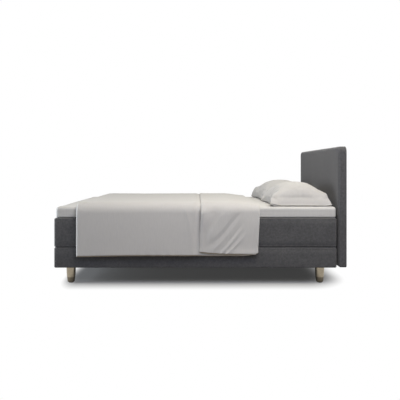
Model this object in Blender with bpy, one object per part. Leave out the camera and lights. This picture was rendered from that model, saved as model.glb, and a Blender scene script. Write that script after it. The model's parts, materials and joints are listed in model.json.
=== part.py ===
"""Box spring bed, 1.40 m x 2.00 m.

A low upholstered spring base on four turned metal feet carries a pocket-spring
mattress, a topper in a fitted sheet, a turned-down duvet and two pillows. An
upholstered headboard is bolted behind the base.

Metres, +Z up, standing on Z = 0. The head of the bed is at +X. Right and left
are seen from the foot end, so the right side is at -Y.
"""

import math

import bmesh
import bpy
from mathutils import Matrix, Vector

# Overall
BED_LENGTH = 2.000
BED_WIDTH = 1.400
SEAT = 0.0003  # gap kept between pieces that touch
OVERRUN = 0.010  # how far a cutter runs past the face that it opens
TINY = 0.00001  # tolerance for finding edges and joining points

# Feet and their fixings
FOOT_HEIGHT = 0.117
FOOT_TOP_RADIUS = 0.033
FOOT_TAPER = 0.0085
FOOT_TAPER_POWER = 2.4
FOOT_EDGE_RADIUS = 0.006
FOOT_INSET_LENGTHWISE = 0.105
FOOT_INSET_CROSSWISE = 0.078
FOOT_PROFILE_STEPS = 6
GLIDE_THICKNESS = 0.004
GLIDE_RADIUS = 0.016
BOLT_RADIUS = 0.004
BOLT_CHAMFER = 0.001
BOLT_DEPTH_IN_FOOT = 0.028
BOLT_HEAD_RADIUS = 0.0080
BOLT_HEAD_THICKNESS = 0.0050
T_NUT_FLANGE_RADIUS = 0.011
T_NUT_FLANGE_THICKNESS = 0.0016
T_NUT_BARREL_RADIUS = 0.0055
T_NUT_BARREL_LENGTH = 0.0125
ROUND_STEPS = 24
SMALL_ROUND_STEPS = 12

# Base
BASE_HEIGHT = 0.145
BASE_CORNER_RADIUS = 0.014
BASE_TOP_RADIUS = 0.012
BASE_BOTTOM_RADIUS = 0.004
BASE_COVER_WALL = 0.005
DUST_COVER_THICKNESS = 0.001
RAIL_HEIGHT = 0.080
RAIL_THICKNESS = 0.022
SLAT_COUNT = 6
SLAT_WIDTH = 0.090
SLAT_THICKNESS = 0.025
SLAT_EDGE = 0.002
BLOCK_REACH = 0.045  # from the foot's axis to the block's inner faces
FELT_THICKNESS = 0.003
BASE_FOAM_THICKNESS = 0.025
BASE_FOAM_RADIUS = 0.008
BASE_SPRING_PITCH = 0.080

# Mattress
MATTRESS_HEIGHT = 0.2065
MATTRESS_CORNER_RADIUS = 0.016
MATTRESS_EDGE_RADIUS = 0.012
MATTRESS_COVER_WALL = 0.004
MATTRESS_PANEL_THICKNESS = 0.002
MATTRESS_BASE_FOAM = 0.020
MATTRESS_TOP_FOAM = 0.035
MATTRESS_EDGE_FOAM = 0.060
MATTRESS_FOAM_RADIUS = 0.008
MATTRESS_SPRING_PITCH = 0.065
POCKET_ARC_SHARE = 0.50  # of the half circle that each edge pocket shows, so corners join
POCKET_ARC_STEPS = 2

# Topper and its fitted sheet
TOPPER_HEIGHT = 0.0775
TOPPER_INSET_LENGTHWISE = 0.006
TOPPER_INSET_CROSSWISE = 0.012
TOPPER_CORNER_RADIUS = 0.022
TOPPER_TOP_RADIUS = 0.020
TOPPER_BOTTOM_RADIUS = 0.012
SHEET_WALL = 0.0015
SHEET_HEM = 0.080

# Headboard
HEADBOARD_GAP = 0.010
HEADBOARD_THICKNESS = 0.060
HEADBOARD_BOTTOM = 0.119
HEADBOARD_HEIGHT = 0.858
HEADBOARD_WIDTH = BED_WIDTH
HEADBOARD_TOP_CORNER = 0.040
HEADBOARD_BOTTOM_CORNER = 0.014
HEADBOARD_FRONT_RADIUS = 0.022
HEADBOARD_BACK_RADIUS = 0.0025
HEADBOARD_COVER_WALL = 0.003
HEADBOARD_PANEL_THICKNESS = 0.016
BACK_CLOTH_THICKNESS = 0.001
HEADBOARD_BOLT_OFFSET = 0.450
HEADBOARD_BOLT_RISE = 0.056  # above the underside of the rails
SPACER_RADIUS = 0.020

# Duvet, seen as a quilt laid over the bed with its head end turned back
DUVET_FOOT_INSET = 0.162
DUVET_FOLD_INSET = 0.5595
DUVET_TURNDOWN = 0.404
DUVET_SIDE_CLEARANCE = 0.002
DUVET_HEM_HEIGHT = 0.2035
DUVET_HEM_SAG = 0.006  # how much lower the hem hangs at the foot end
DUVET_FLAP_LIFT = 0.014  # how much higher the turned-back hem hangs
DUVET_INNER_RADIUS = 0.022
DUVET_THICKNESS = 0.0265
DUVET_SIDE_SHARE = 0.62  # thickness on the hanging sides
DUVET_UNDER_SHARE = 0.50  # thickness of the lower layer under the turndown
DUVET_FLAP_SHARE = 0.52
DUVET_FOLD_SHARE = 0.24  # thickness of each layer at the fold itself
DUVET_EDGE_SHARE = 0.34  # thickness left at a sewn edge
DUVET_EDGE_WIDTH = 0.045
DUVET_FOLD_RUN = 0.200  # the stretch over which the turndown thins to the fold
DUVET_LAYER_GAP = 0.0010
DUVET_FOLD_PITCH = 0.105
DUVET_FOLD_DEPTH = 0.010
DUVET_FOLD_SLANT_SHARE = 0.75
DUVET_LOWER_PITCH = 0.310
DUVET_LOWER_DEPTH = 0.004
DUVET_TOP_SHARE = 0.44  # of the way from the middle to the hem, where the flat top ends
DUVET_BEND_SHARE = 0.60  # and where the bend over the topper's edge ends
DUVET_BEND_STEPS = 3
DUVET_SIDE_START_SHARE = 0.52  # where the hanging side is taken to begin
DUVET_SIDE_THIN_SHARE = 0.35  # down the side, where it has thinned to its side thickness
DUVET_HEM_START_SHARE = 0.80  # down the side, where it thins to the hem
DUVET_FLAP_FOLD_SHARES = (0.10, 0.75)  # down the side, where the slanting folds grow
DUVET_SWELL_SHARES = (0.10, 0.60)
DUVET_FLAP_LIFT_SHARE = 0.30

# Pillows and pillowcases
PILLOW_DEPTH = 0.425
PILLOW_WIDTH = 0.640
PILLOW_CENTRE_INSET = 0.239  # from the head end of the mattress to the pillow's middle
PILLOW_SPACING = 0.020
PILLOW_RISE = 0.141  # from the seam up to the crown
PILLOW_DROP = 0.070  # from the seam down, before the sheet flattens it
PILLOW_SEAM_HEIGHT = 0.036
PILLOW_SEAM_DIP_SHARE = 0.55
PILLOW_DRAW_IN_SHARE = 0.065
PILLOW_SIDE_POWER = 0.62
PILLOW_END_POWER = 0.36
PILLOWCASE_WALL = 0.0015
PILLOWCASE_LOOSENESS = 0.0012
PILLOWCASE_HEM = 0.012
PILLOWCASE_MOUTH_SHARE = 0.10
PILLOW_STEPS_DEEP = 12
PILLOW_STEPS_WIDE = 14

# Places worked out from the sizes
BED_MIDDLE = -(HEADBOARD_GAP + HEADBOARD_THICKNESS) / 2
FOOT_END = BED_MIDDLE - BED_LENGTH / 2
HEAD_END = BED_MIDDLE + BED_LENGTH / 2
BASE_BOTTOM = FOOT_HEIGHT + SEAT
BASE_TOP = BASE_BOTTOM + BASE_HEIGHT
RAIL_BOTTOM = BASE_BOTTOM + DUST_COVER_THICKNESS + SEAT
RAIL_TOP = RAIL_BOTTOM + RAIL_HEIGHT
RAIL_INSET = BASE_COVER_WALL + SEAT
RAIL_INNER = RAIL_INSET + RAIL_THICKNESS
FELT_BOTTOM = RAIL_BOTTOM + SLAT_THICKNESS + SEAT
BASE_CORE_BOTTOM = FELT_BOTTOM + FELT_THICKNESS + SEAT
BASE_FOAM_TOP = BASE_TOP - BASE_COVER_WALL - SEAT
BASE_CORE_TOP = BASE_FOAM_TOP - BASE_FOAM_THICKNESS - SEAT
MATTRESS_BOTTOM = BASE_TOP + SEAT
MATTRESS_TOP = MATTRESS_BOTTOM + MATTRESS_HEIGHT
TOPPER_BOTTOM = MATTRESS_TOP + SEAT
TOPPER_TOP = TOPPER_BOTTOM + TOPPER_HEIGHT
HEADBOARD_FRONT = HEAD_END + HEADBOARD_GAP
HEADBOARD_BACK = HEADBOARD_FRONT + HEADBOARD_THICKNESS
HEADBOARD_MIDDLE_HEIGHT = HEADBOARD_BOTTOM + HEADBOARD_HEIGHT / 2
PANEL_BACK = HEADBOARD_BACK - BACK_CLOTH_THICKNESS - SEAT
PANEL_FRONT = PANEL_BACK - HEADBOARD_PANEL_THICKNESS

# Colours as linear RGB, roughness, metallic
FINISHES = {
    "charcoal_weave": ((0.105, 0.104, 0.107), 0.92, 0.0),
    "ivory_cotton": ((0.62, 0.605, 0.585), 0.85, 0.0),
    "white_sheet": ((0.63, 0.62, 0.60), 0.85, 0.0),
    "pine": ((0.60, 0.42, 0.24), 0.70, 0.0),
    "chipboard": ((0.45, 0.33, 0.20), 0.80, 0.0),
    "foam": ((0.74, 0.72, 0.60), 0.95, 0.0),
    "spring_pocket": ((0.66, 0.67, 0.68), 0.90, 0.0),
    "felt": ((0.22, 0.22, 0.23), 0.95, 0.0),
    "black_fleece": ((0.020, 0.020, 0.022), 0.95, 0.0),
    "satin_metal": ((0.30, 0.26, 0.21), 0.30, 1.0),
    "zinc": ((0.55, 0.56, 0.57), 0.38, 1.0),
    "black_plastic": ((0.015, 0.015, 0.016), 0.55, 0.0),
}

SIDES = (("right", -1), ("left", 1))
ENDS = (("foot", -1), ("head", 1))


def clear_scene():
    for old in list(bpy.data.objects):
        bpy.data.objects.remove(old, do_unlink=True)


def finish_of(name):
    """The Principled material of this finish, made the first time it is asked for."""
    if name in bpy.data.materials:
        return bpy.data.materials[name]
    colour, roughness, metallic = FINISHES[name]
    material = bpy.data.materials.new(name)
    material.use_nodes = True
    shader = material.node_tree.nodes["Principled BSDF"]
    shader.inputs["Base Color"].default_value = (*colour, 1.0)
    shader.inputs["Roughness"].default_value = roughness
    shader.inputs["Metallic"].default_value = metallic
    return material


def carrier(name, place, parent=None):
    """An empty on a joint's axis. Every piece of that body hangs from it."""
    empty = bpy.data.objects.new(name, None)
    bpy.context.scene.collection.objects.link(empty)
    empty.location = Vector(place) - (world_place(parent) if parent else Vector())
    empty.parent = parent
    return empty


def world_place(empty):
    place = Vector()
    while empty:
        place += empty.location
        empty = empty.parent
    return place


def mesh_of(name, bm):
    """The bmesh as a mesh, smooth over round stretches and sharp at real edges."""
    bmesh.ops.recalc_face_normals(bm, faces=bm.faces)
    mesh = bpy.data.meshes.new(name)
    bm.to_mesh(mesh)
    bm.free()
    mesh.shade_smooth()
    mesh.set_sharp_from_angle(angle=math.radians(32))
    return mesh


def add_piece(name, mesh, finish, body, place):
    """A named piece at a place in the bed's own frame, carried by its body's empty."""
    piece = bpy.data.objects.new(name, mesh)
    bpy.context.scene.collection.objects.link(piece)
    piece.parent = body
    piece.location = Vector(place) - world_place(body)
    if not mesh.materials:
        mesh.materials.append(finish_of(finish))
    return piece


def add_cutter(name, bm, body, place):
    cutter = add_piece(name, mesh_of(name, bm), "zinc", body, place)
    cutter.hide_render = True
    cutter.display_type = "WIRE"
    return cutter


def cut(piece, cutter):
    boolean = piece.modifiers.new("cut_" + cutter.name, "BOOLEAN")
    boolean.operation = "DIFFERENCE"
    boolean.object = cutter


def block_bm(size):
    bm = bmesh.new()
    bmesh.ops.create_cube(bm, size=1)
    bmesh.ops.scale(bm, vec=size, verts=bm.verts)
    return bm


def bevel(bm, edges, radius, segments):
    bmesh.ops.bevel(bm, geom=edges, offset=radius, segments=segments, profile=0.5, affect="EDGES")


def edges_along(bm, axis):
    """The edges that run along one axis, 0 for X, 1 for Y, 2 for Z."""
    others = [i for i in range(3) if i != axis]
    found = []
    for edge in bm.edges:
        run = edge.verts[0].co - edge.verts[1].co
        if all(abs(run[i]) < TINY for i in others):
            found.append(edge)
    return found


def edges_at(bm, axis, value):
    """The edges that lie in the plane where this coordinate has this value."""
    return [e for e in bm.edges if all(abs(v.co[axis] - value) < TINY for v in e.verts)]


def padded_bm(size, corner, top, bottom, segments=3):
    """A block with rounded upright corners and rounded top and bottom edges."""
    bm = block_bm(size)
    bevel(bm, edges_along(bm, 2), corner, segments)
    bevel(bm, edges_at(bm, 2, size[2] / 2), top, segments)
    bevel(bm, edges_at(bm, 2, -size[2] / 2), bottom, 2)
    return bm


def plain_block(name, size, finish, body, place, edge=SLAT_EDGE):
    """A sawn piece with its edges broken."""
    bm = block_bm(size)
    bevel(bm, list(bm.edges), edge, 1)
    return add_piece(name, mesh_of(name, bm), finish, body, place)


def sheet_piece(name, size, finish, body, place):
    return add_piece(name, mesh_of(name, block_bm(size)), finish, body, place)


def turned_bm(profile, steps):
    """A solid turned about Z from (radius, height) points, which start and end on the axis."""
    bm = bmesh.new()
    points = [bm.verts.new((radius, 0, height)) for radius, height in profile]
    edges = [bm.edges.new(pair) for pair in zip(points, points[1:])]
    bmesh.ops.spin(
        bm,
        geom=points + edges,
        cent=(0, 0, 0),
        axis=(0, 0, 1),
        angle=math.tau,
        steps=steps,
    )
    bmesh.ops.remove_doubles(bm, verts=bm.verts, dist=TINY)
    return bm


def rod_bm(radius, length, steps=SMALL_ROUND_STEPS):
    """A plain rod about Z, centred on its middle."""
    bm = bmesh.new()
    bmesh.ops.create_cone(
        bm,
        cap_ends=True,
        segments=steps,
        radius1=radius,
        radius2=radius,
        depth=length,
    )
    return bm


def along_x(bm):
    """Turns a shape made about Z so that its top points to +X."""
    bmesh.ops.rotate(bm, cent=(0, 0, 0), matrix=Matrix.Rotation(math.pi / 2, 3, "Y"), verts=bm.verts)
    return bm


def smoothstep(low, high, value):
    share = min(max((value - low) / (high - low), 0.0), 1.0)
    return share * share * (3 - 2 * share)


# Feet


def foot_places():
    """(name, x, y) of the four foot axes."""
    for end, along in ENDS:
        for side, across in SIDES:
            x = BED_MIDDLE + along * (BED_LENGTH / 2 - FOOT_INSET_LENGTHWISE)
            y = across * (BED_WIDTH / 2 - FOOT_INSET_CROSSWISE)
            yield f"{end}_{side}", x, y


def foot_profile():
    """Outer curve from the floor end upwards, then the blind hole for the bolt."""
    low = GLIDE_THICKNESS + SEAT
    taper_height = FOOT_HEIGHT - low - FOOT_EDGE_RADIUS
    hole = BOLT_RADIUS + SEAT
    end_radius = FOOT_TOP_RADIUS - FOOT_TAPER
    profile = [(0, low), (end_radius - FOOT_EDGE_RADIUS, low)]
    profile.append((end_radius - FOOT_EDGE_RADIUS * (1 - math.sin(math.pi / 4)),
                    low + FOOT_EDGE_RADIUS * (1 - math.cos(math.pi / 4))))
    for step in range(FOOT_PROFILE_STEPS + 1):
        share = step / FOOT_PROFILE_STEPS
        radius = FOOT_TOP_RADIUS - FOOT_TAPER * (1 - share) ** FOOT_TAPER_POWER
        profile.append((radius, low + FOOT_EDGE_RADIUS + taper_height * share))
    profile += [(hole, FOOT_HEIGHT), (hole, FOOT_HEIGHT - BOLT_DEPTH_IN_FOOT)]
    profile.append((0, FOOT_HEIGHT - BOLT_DEPTH_IN_FOOT))
    return profile


def t_nut_bm():
    """Flange at the top, flush with Z = 0, and a barrel below it, bored for the bolt."""
    bore = BOLT_RADIUS + SEAT
    outer_low = -T_NUT_FLANGE_THICKNESS - T_NUT_BARREL_LENGTH
    ring = [
        (bore, 0),
        (T_NUT_FLANGE_RADIUS, 0),
        (T_NUT_FLANGE_RADIUS, -T_NUT_FLANGE_THICKNESS),
        (T_NUT_BARREL_RADIUS, -T_NUT_FLANGE_THICKNESS),
        (T_NUT_BARREL_RADIUS, outer_low),
        (bore, outer_low),
        (bore, 0),
    ]
    return turned_bm(ring, SMALL_ROUND_STEPS)


def t_nut_seat_bm(depth):
    """Cutter for a T-nut: a shallow recess for the flange and a bore of this depth."""
    recess = T_NUT_FLANGE_THICKNESS + SEAT
    profile = [
        (0, OVERRUN),
        (T_NUT_FLANGE_RADIUS + SEAT, OVERRUN),
        (T_NUT_FLANGE_RADIUS + SEAT, -recess),
        (T_NUT_BARREL_RADIUS + SEAT, -recess),
        (T_NUT_BARREL_RADIUS + SEAT, -depth - OVERRUN),
        (0, -depth - OVERRUN),
    ]
    return turned_bm(profile, SMALL_ROUND_STEPS)


def stud_bm(length):
    """A threaded stud about Z with chamfered ends, standing on Z = 0."""
    profile = [
        (0, 0),
        (BOLT_RADIUS - BOLT_CHAMFER, 0),
        (BOLT_RADIUS, BOLT_CHAMFER),
        (BOLT_RADIUS, length - BOLT_CHAMFER),
        (BOLT_RADIUS - BOLT_CHAMFER, length),
        (0, length),
    ]
    return turned_bm(profile, SMALL_ROUND_STEPS)


def make_feet(body, dust_cover):
    foot_mesh = mesh_of("foot", turned_bm(foot_profile(), ROUND_STEPS))
    glide_mesh = mesh_of("foot_glide", turned_bm(
        [(0, 0), (GLIDE_RADIUS, 0), (GLIDE_RADIUS, GLIDE_THICKNESS), (0, GLIDE_THICKNESS)],
        ROUND_STEPS,
    ))
    nut_mesh = mesh_of("foot_t_nut", t_nut_bm())
    block_top = RAIL_BOTTOM + SLAT_THICKNESS
    stud_low = FOOT_HEIGHT - BOLT_DEPTH_IN_FOOT + SEAT
    stud_mesh = mesh_of("foot_stud", stud_bm(block_top - BOLT_CHAMFER - stud_low))
    for name, x, y in foot_places():
        add_piece("foot_" + name, foot_mesh, "satin_metal", body, (x, y, 0))
        add_piece("foot_glide_" + name, glide_mesh, "black_plastic", body, (x, y, 0))
        add_piece("foot_stud_" + name, stud_mesh, "zinc", body, (x, y, stud_low))
        add_piece("foot_t_nut_" + name, nut_mesh, "zinc", body, (x, y, block_top))
        block = corner_block(name, x, y, body)
        seat = add_cutter("t_nut_seat_" + name, t_nut_seat_bm(SLAT_THICKNESS), body, (x, y, block_top))
        cut(block, seat)
        hole = rod_bm(T_NUT_BARREL_RADIUS, OVERRUN)
        cut(dust_cover, add_cutter("stud_hole_" + name, hole, body, (x, y, BASE_BOTTOM)))


def corner_block(name, x, y, body):
    """The block that holds a foot's T-nut, fitted into the corner of the rails."""
    along, across = math.copysign(1, x - BED_MIDDLE), math.copysign(1, y)
    outer_x = BED_MIDDLE + along * (BED_LENGTH / 2 - RAIL_INNER - SEAT)
    outer_y = across * (BED_WIDTH / 2 - RAIL_INNER - SEAT)
    inner_x = x - along * BLOCK_REACH
    inner_y = y - across * BLOCK_REACH
    size = (abs(outer_x - inner_x), abs(outer_y - inner_y), SLAT_THICKNESS)
    place = ((outer_x + inner_x) / 2, (outer_y + inner_y) / 2, RAIL_BOTTOM + SLAT_THICKNESS / 2)
    return plain_block("corner_block_" + name, size, "pine", body, place)


# Base


def make_base_frame(body):
    rail_length = BED_LENGTH - 2 * RAIL_INSET
    end_rail_length = BED_WIDTH - 2 * (RAIL_INNER + SEAT)
    rail_middle = (RAIL_BOTTOM + RAIL_TOP) / 2
    for side, across in SIDES:
        y = across * (BED_WIDTH / 2 - RAIL_INSET - RAIL_THICKNESS / 2)
        size = (rail_length, RAIL_THICKNESS, RAIL_HEIGHT)
        plain_block("base_rail_" + side, size, "pine", body, (BED_MIDDLE, y, rail_middle))
    for end, along in ENDS:
        x = BED_MIDDLE + along * (BED_LENGTH / 2 - RAIL_INSET - RAIL_THICKNESS / 2)
        size = (RAIL_THICKNESS, end_rail_length, RAIL_HEIGHT)
        plain_block("base_rail_" + end, size, "pine", body, (x, 0, rail_middle))
    block_reach = FOOT_INSET_LENGTHWISE + BLOCK_REACH
    clear_length = BED_LENGTH - 2 * block_reach
    pitch = clear_length / SLAT_COUNT
    for index in range(SLAT_COUNT):
        x = BED_MIDDLE - clear_length / 2 + pitch * (index + 0.5)
        size = (SLAT_WIDTH, end_rail_length, SLAT_THICKNESS)
        place = (x, 0, RAIL_BOTTOM + SLAT_THICKNESS / 2)
        plain_block(f"base_slat_{index + 1}", size, "pine", body, place)


def pocket_core_bm(length, width, height, pitch):
    """A block of pocket springs: its outline follows the round pockets of the outer rows."""
    along = round(length / pitch)
    across = round(width / pitch)
    radius_x, radius_y = length / along / 2, width / across / 2
    corners = (
        ((-1, -1), (1, -1), along, 1.5),
        ((1, -1), (1, 1), across, 2.0),
        ((1, 1), (-1, 1), along, 0.5),
        ((-1, 1), (-1, -1), across, 1.0),
    )
    outline = []
    for start, stop, count, turn in corners:
        begin = Vector((start[0] * (length / 2 - radius_x), start[1] * (width / 2 - radius_y)))
        end = Vector((stop[0] * (length / 2 - radius_x), stop[1] * (width / 2 - radius_y)))
        for index in range(count):
            middle = begin.lerp(end, index / (count - 1))
            for step in range(POCKET_ARC_STEPS + (index < count - 1)):
                share = (step / POCKET_ARC_STEPS - 0.5) * POCKET_ARC_SHARE
                angle = math.pi * (turn + share)
                outline.append((middle.x + radius_x * math.cos(angle),
                                middle.y + radius_y * math.sin(angle)))
    bm = bmesh.new()
    bottom = [bm.verts.new((x, y, -height / 2)) for x, y in outline]
    face = bm.faces.new(bottom)
    raised = bmesh.ops.extrude_face_region(bm, geom=[face], use_keep_orig=True)
    top = [item for item in raised["geom"] if isinstance(item, bmesh.types.BMVert)]
    bmesh.ops.translate(bm, vec=(0, 0, height), verts=top)
    return bm


def make_base_filling(body):
    clear_length = BED_LENGTH - 2 * (RAIL_INNER + SEAT)
    clear_width = BED_WIDTH - 2 * (RAIL_INNER + SEAT)
    felt_size = (clear_length, clear_width, FELT_THICKNESS)
    felt_place = (BED_MIDDLE, 0, FELT_BOTTOM + FELT_THICKNESS / 2)
    sheet_piece("base_felt_pad", felt_size, "felt", body, felt_place)
    core_height = BASE_CORE_TOP - BASE_CORE_BOTTOM
    core = pocket_core_bm(clear_length, clear_width, core_height, BASE_SPRING_PITCH)
    core_place = (BED_MIDDLE, 0, (BASE_CORE_TOP + BASE_CORE_BOTTOM) / 2)
    add_piece("base_spring_core", mesh_of("base_spring_core", core), "spring_pocket", body, core_place)
    foam_size = (
        BED_LENGTH - 2 * RAIL_INSET,
        BED_WIDTH - 2 * RAIL_INSET,
        BASE_FOAM_TOP - RAIL_TOP - SEAT,
    )
    foam_place = (BED_MIDDLE, 0, (BASE_FOAM_TOP + RAIL_TOP + SEAT) / 2)
    foam = padded_bm(foam_size, BASE_FOAM_RADIUS, BASE_FOAM_RADIUS, SLAT_EDGE, 2)
    cap = add_piece("base_foam_cap", mesh_of("base_foam_cap", foam), "foam", body, foam_place)
    pocket_top = BASE_CORE_TOP + SEAT
    pocket_low = RAIL_TOP - OVERRUN
    pocket_size = (clear_length + SEAT, clear_width + SEAT, pocket_top - pocket_low)
    pocket_place = (BED_MIDDLE, 0, (pocket_top + pocket_low) / 2)
    cut(cap, add_cutter("foam_cap_pocket", block_bm(pocket_size), body, pocket_place))


def make_base_covers(body):
    size = (BED_LENGTH, BED_WIDTH, BASE_HEIGHT)
    middle = (BED_MIDDLE, 0, BASE_BOTTOM + BASE_HEIGHT / 2)
    outer = padded_bm(size, BASE_CORNER_RADIUS, BASE_TOP_RADIUS, BASE_BOTTOM_RADIUS)
    cover = add_piece("base_cover", mesh_of("base_cover", outer), "charcoal_weave", body, middle)
    inside = (
        BED_LENGTH - 2 * BASE_COVER_WALL,
        BED_WIDTH - 2 * BASE_COVER_WALL,
        BASE_HEIGHT - BASE_COVER_WALL + OVERRUN,
    )
    hollow = block_bm(inside)
    bevel(hollow, edges_at(hollow, 2, inside[2] / 2), BASE_FOAM_RADIUS - SEAT, 2)
    hollow_place = (BED_MIDDLE, 0, BASE_TOP - BASE_COVER_WALL - inside[2] / 2)
    cut(cover, add_cutter("base_cover_inside", hollow, body, hollow_place))
    cloth_size = (
        BED_LENGTH - 2 * RAIL_INSET,
        BED_WIDTH - 2 * RAIL_INSET,
        DUST_COVER_THICKNESS,
    )
    cloth_place = (BED_MIDDLE, 0, BASE_BOTTOM + DUST_COVER_THICKNESS / 2)
    dust_cover = sheet_piece("base_dust_cover", cloth_size, "black_fleece", body, cloth_place)
    return cover, dust_cover


# Headboard


def board_bm(size, top_corner, bottom_corner, front, back):
    """An upright board facing -X with rounded corners and rounded front and back edges."""
    bm = block_bm(size)
    bevel(bm, [e for e in edges_along(bm, 0) if e.verts[0].co.z > 0], top_corner, 4)
    bevel(bm, [e for e in edges_along(bm, 0) if e.verts[0].co.z < 0], bottom_corner, 2)
    if front:
        bevel(bm, edges_at(bm, 0, -size[0] / 2), front, 4)
    if back:
        bevel(bm, edges_at(bm, 0, size[0] / 2), back, 2)
    return bm


def headboard_layer_bm(front_x, back_x, inset, rounding, rounded_front):
    """One layer of the headboard between two planes, set in from the outer outline.

    rounding is how much smaller its corner radii are than the outer ones.
    """
    size = (
        back_x - front_x,
        HEADBOARD_WIDTH - 2 * inset,
        HEADBOARD_HEIGHT - 2 * inset,
    )
    front = HEADBOARD_FRONT_RADIUS - rounding if rounded_front else 0
    return board_bm(size, HEADBOARD_TOP_CORNER - rounding, HEADBOARD_BOTTOM_CORNER - rounding, front, 0)


def make_headboard(body, base_cover):
    middle_x = (HEADBOARD_FRONT + HEADBOARD_BACK) / 2
    size = (HEADBOARD_THICKNESS, HEADBOARD_WIDTH, HEADBOARD_HEIGHT)
    outer = board_bm(
        size,
        HEADBOARD_TOP_CORNER,
        HEADBOARD_BOTTOM_CORNER,
        HEADBOARD_FRONT_RADIUS,
        HEADBOARD_BACK_RADIUS,
    )
    cover = add_piece(
        "headboard_cover",
        mesh_of("headboard_cover", outer),
        "charcoal_weave",
        body,
        (middle_x, 0, HEADBOARD_MIDDLE_HEIGHT),
    )
    inside_front = HEADBOARD_FRONT + HEADBOARD_COVER_WALL
    inside_back = HEADBOARD_BACK + OVERRUN
    wall = HEADBOARD_COVER_WALL
    hollow = headboard_layer_bm(inside_front, inside_back, wall, wall, True)
    hollow_place = ((inside_front + inside_back) / 2, 0, HEADBOARD_MIDDLE_HEIGHT)
    cut(cover, add_cutter("headboard_cover_inside", hollow, body, hollow_place))

    inset = HEADBOARD_COVER_WALL + SEAT
    layers = (
        ("headboard_foam", "foam", inside_front + SEAT, PANEL_FRONT - SEAT, True),
        ("headboard_panel", "chipboard", PANEL_FRONT, PANEL_BACK, False),
        ("headboard_back_cloth", "black_fleece", HEADBOARD_BACK - BACK_CLOTH_THICKNESS,
         HEADBOARD_BACK, False),
    )
    made = {}
    for name, finish, front_x, back_x, rounded_front in layers:
        bm = headboard_layer_bm(front_x, back_x, inset, 0, rounded_front)
        place = ((front_x + back_x) / 2, 0, HEADBOARD_MIDDLE_HEIGHT)
        made[name] = add_piece(name, mesh_of(name, bm), finish, body, place)
    pierced = [base_cover, cover, made["headboard_foam"], bpy.data.objects["base_rail_head"]]
    make_headboard_fixings(body, pierced, made["headboard_panel"])


def headboard_bolt_bm(length):
    """A bolt along +X with its round head at X = 0 and its shank beyond it."""
    profile = [
        (0, 0),
        (BOLT_HEAD_RADIUS, 0),
        (BOLT_HEAD_RADIUS, BOLT_HEAD_THICKNESS),
        (BOLT_RADIUS, BOLT_HEAD_THICKNESS),
        (BOLT_RADIUS, length - BOLT_CHAMFER),
        (BOLT_RADIUS - BOLT_CHAMFER, length),
        (0, length),
    ]
    return along_x(turned_bm(profile, SMALL_ROUND_STEPS))


def make_headboard_fixings(body, pierced, panel):
    """Two bolts from the base's head rail through a spacer into T-nuts in the panel."""
    z = RAIL_BOTTOM + HEADBOARD_BOLT_RISE
    head_x = HEAD_END - RAIL_INNER + SEAT
    nut_x = PANEL_BACK
    bolt_length = nut_x - BOLT_CHAMFER - head_x
    bolt_mesh = mesh_of("headboard_bolt", headboard_bolt_bm(bolt_length))
    nut_mesh = mesh_of("headboard_t_nut", along_x(t_nut_bm()))
    spacer_length = HEADBOARD_GAP - 2 * SEAT
    spacer_bore = BOLT_RADIUS + SEAT
    spacer_profile = [
        (spacer_bore, 0),
        (SPACER_RADIUS, 0),
        (SPACER_RADIUS, spacer_length),
        (spacer_bore, spacer_length),
        (spacer_bore, 0),
    ]
    spacer_mesh = mesh_of("headboard_spacer", along_x(turned_bm(spacer_profile, ROUND_STEPS)))
    for side, across in SIDES:
        y = across * HEADBOARD_BOLT_OFFSET
        add_piece("headboard_bolt_" + side, bolt_mesh, "zinc", body, (head_x, y, z))
        add_piece("headboard_t_nut_" + side, nut_mesh, "zinc", body, (nut_x, y, z))
        place = (HEAD_END + SEAT, y, z)
        add_piece("headboard_spacer_" + side, spacer_mesh, "black_plastic", body, place)
        shank = along_x(rod_bm(BOLT_RADIUS + SEAT, bolt_length + 2 * OVERRUN))
        hole = add_cutter("bolt_hole_" + side, shank, body, ((head_x + nut_x) / 2, y, z))
        for piece in pierced:
            cut(piece, hole)
        recess_depth = BOLT_HEAD_THICKNESS + SEAT + OVERRUN
        recess = along_x(rod_bm(BOLT_HEAD_RADIUS + SEAT, recess_depth))
        recess_x = HEAD_END - RAIL_INNER + BOLT_HEAD_THICKNESS + 2 * SEAT - recess_depth / 2
        rail = bpy.data.objects["base_rail_head"]
        cut(rail, add_cutter("bolt_recess_" + side, recess, body, (recess_x, y, z)))
        seat = along_x(t_nut_seat_bm(HEADBOARD_PANEL_THICKNESS))
        cut(panel, add_cutter("panel_nut_seat_" + side, seat, body, (nut_x, y, z)))


# Mattress


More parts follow.
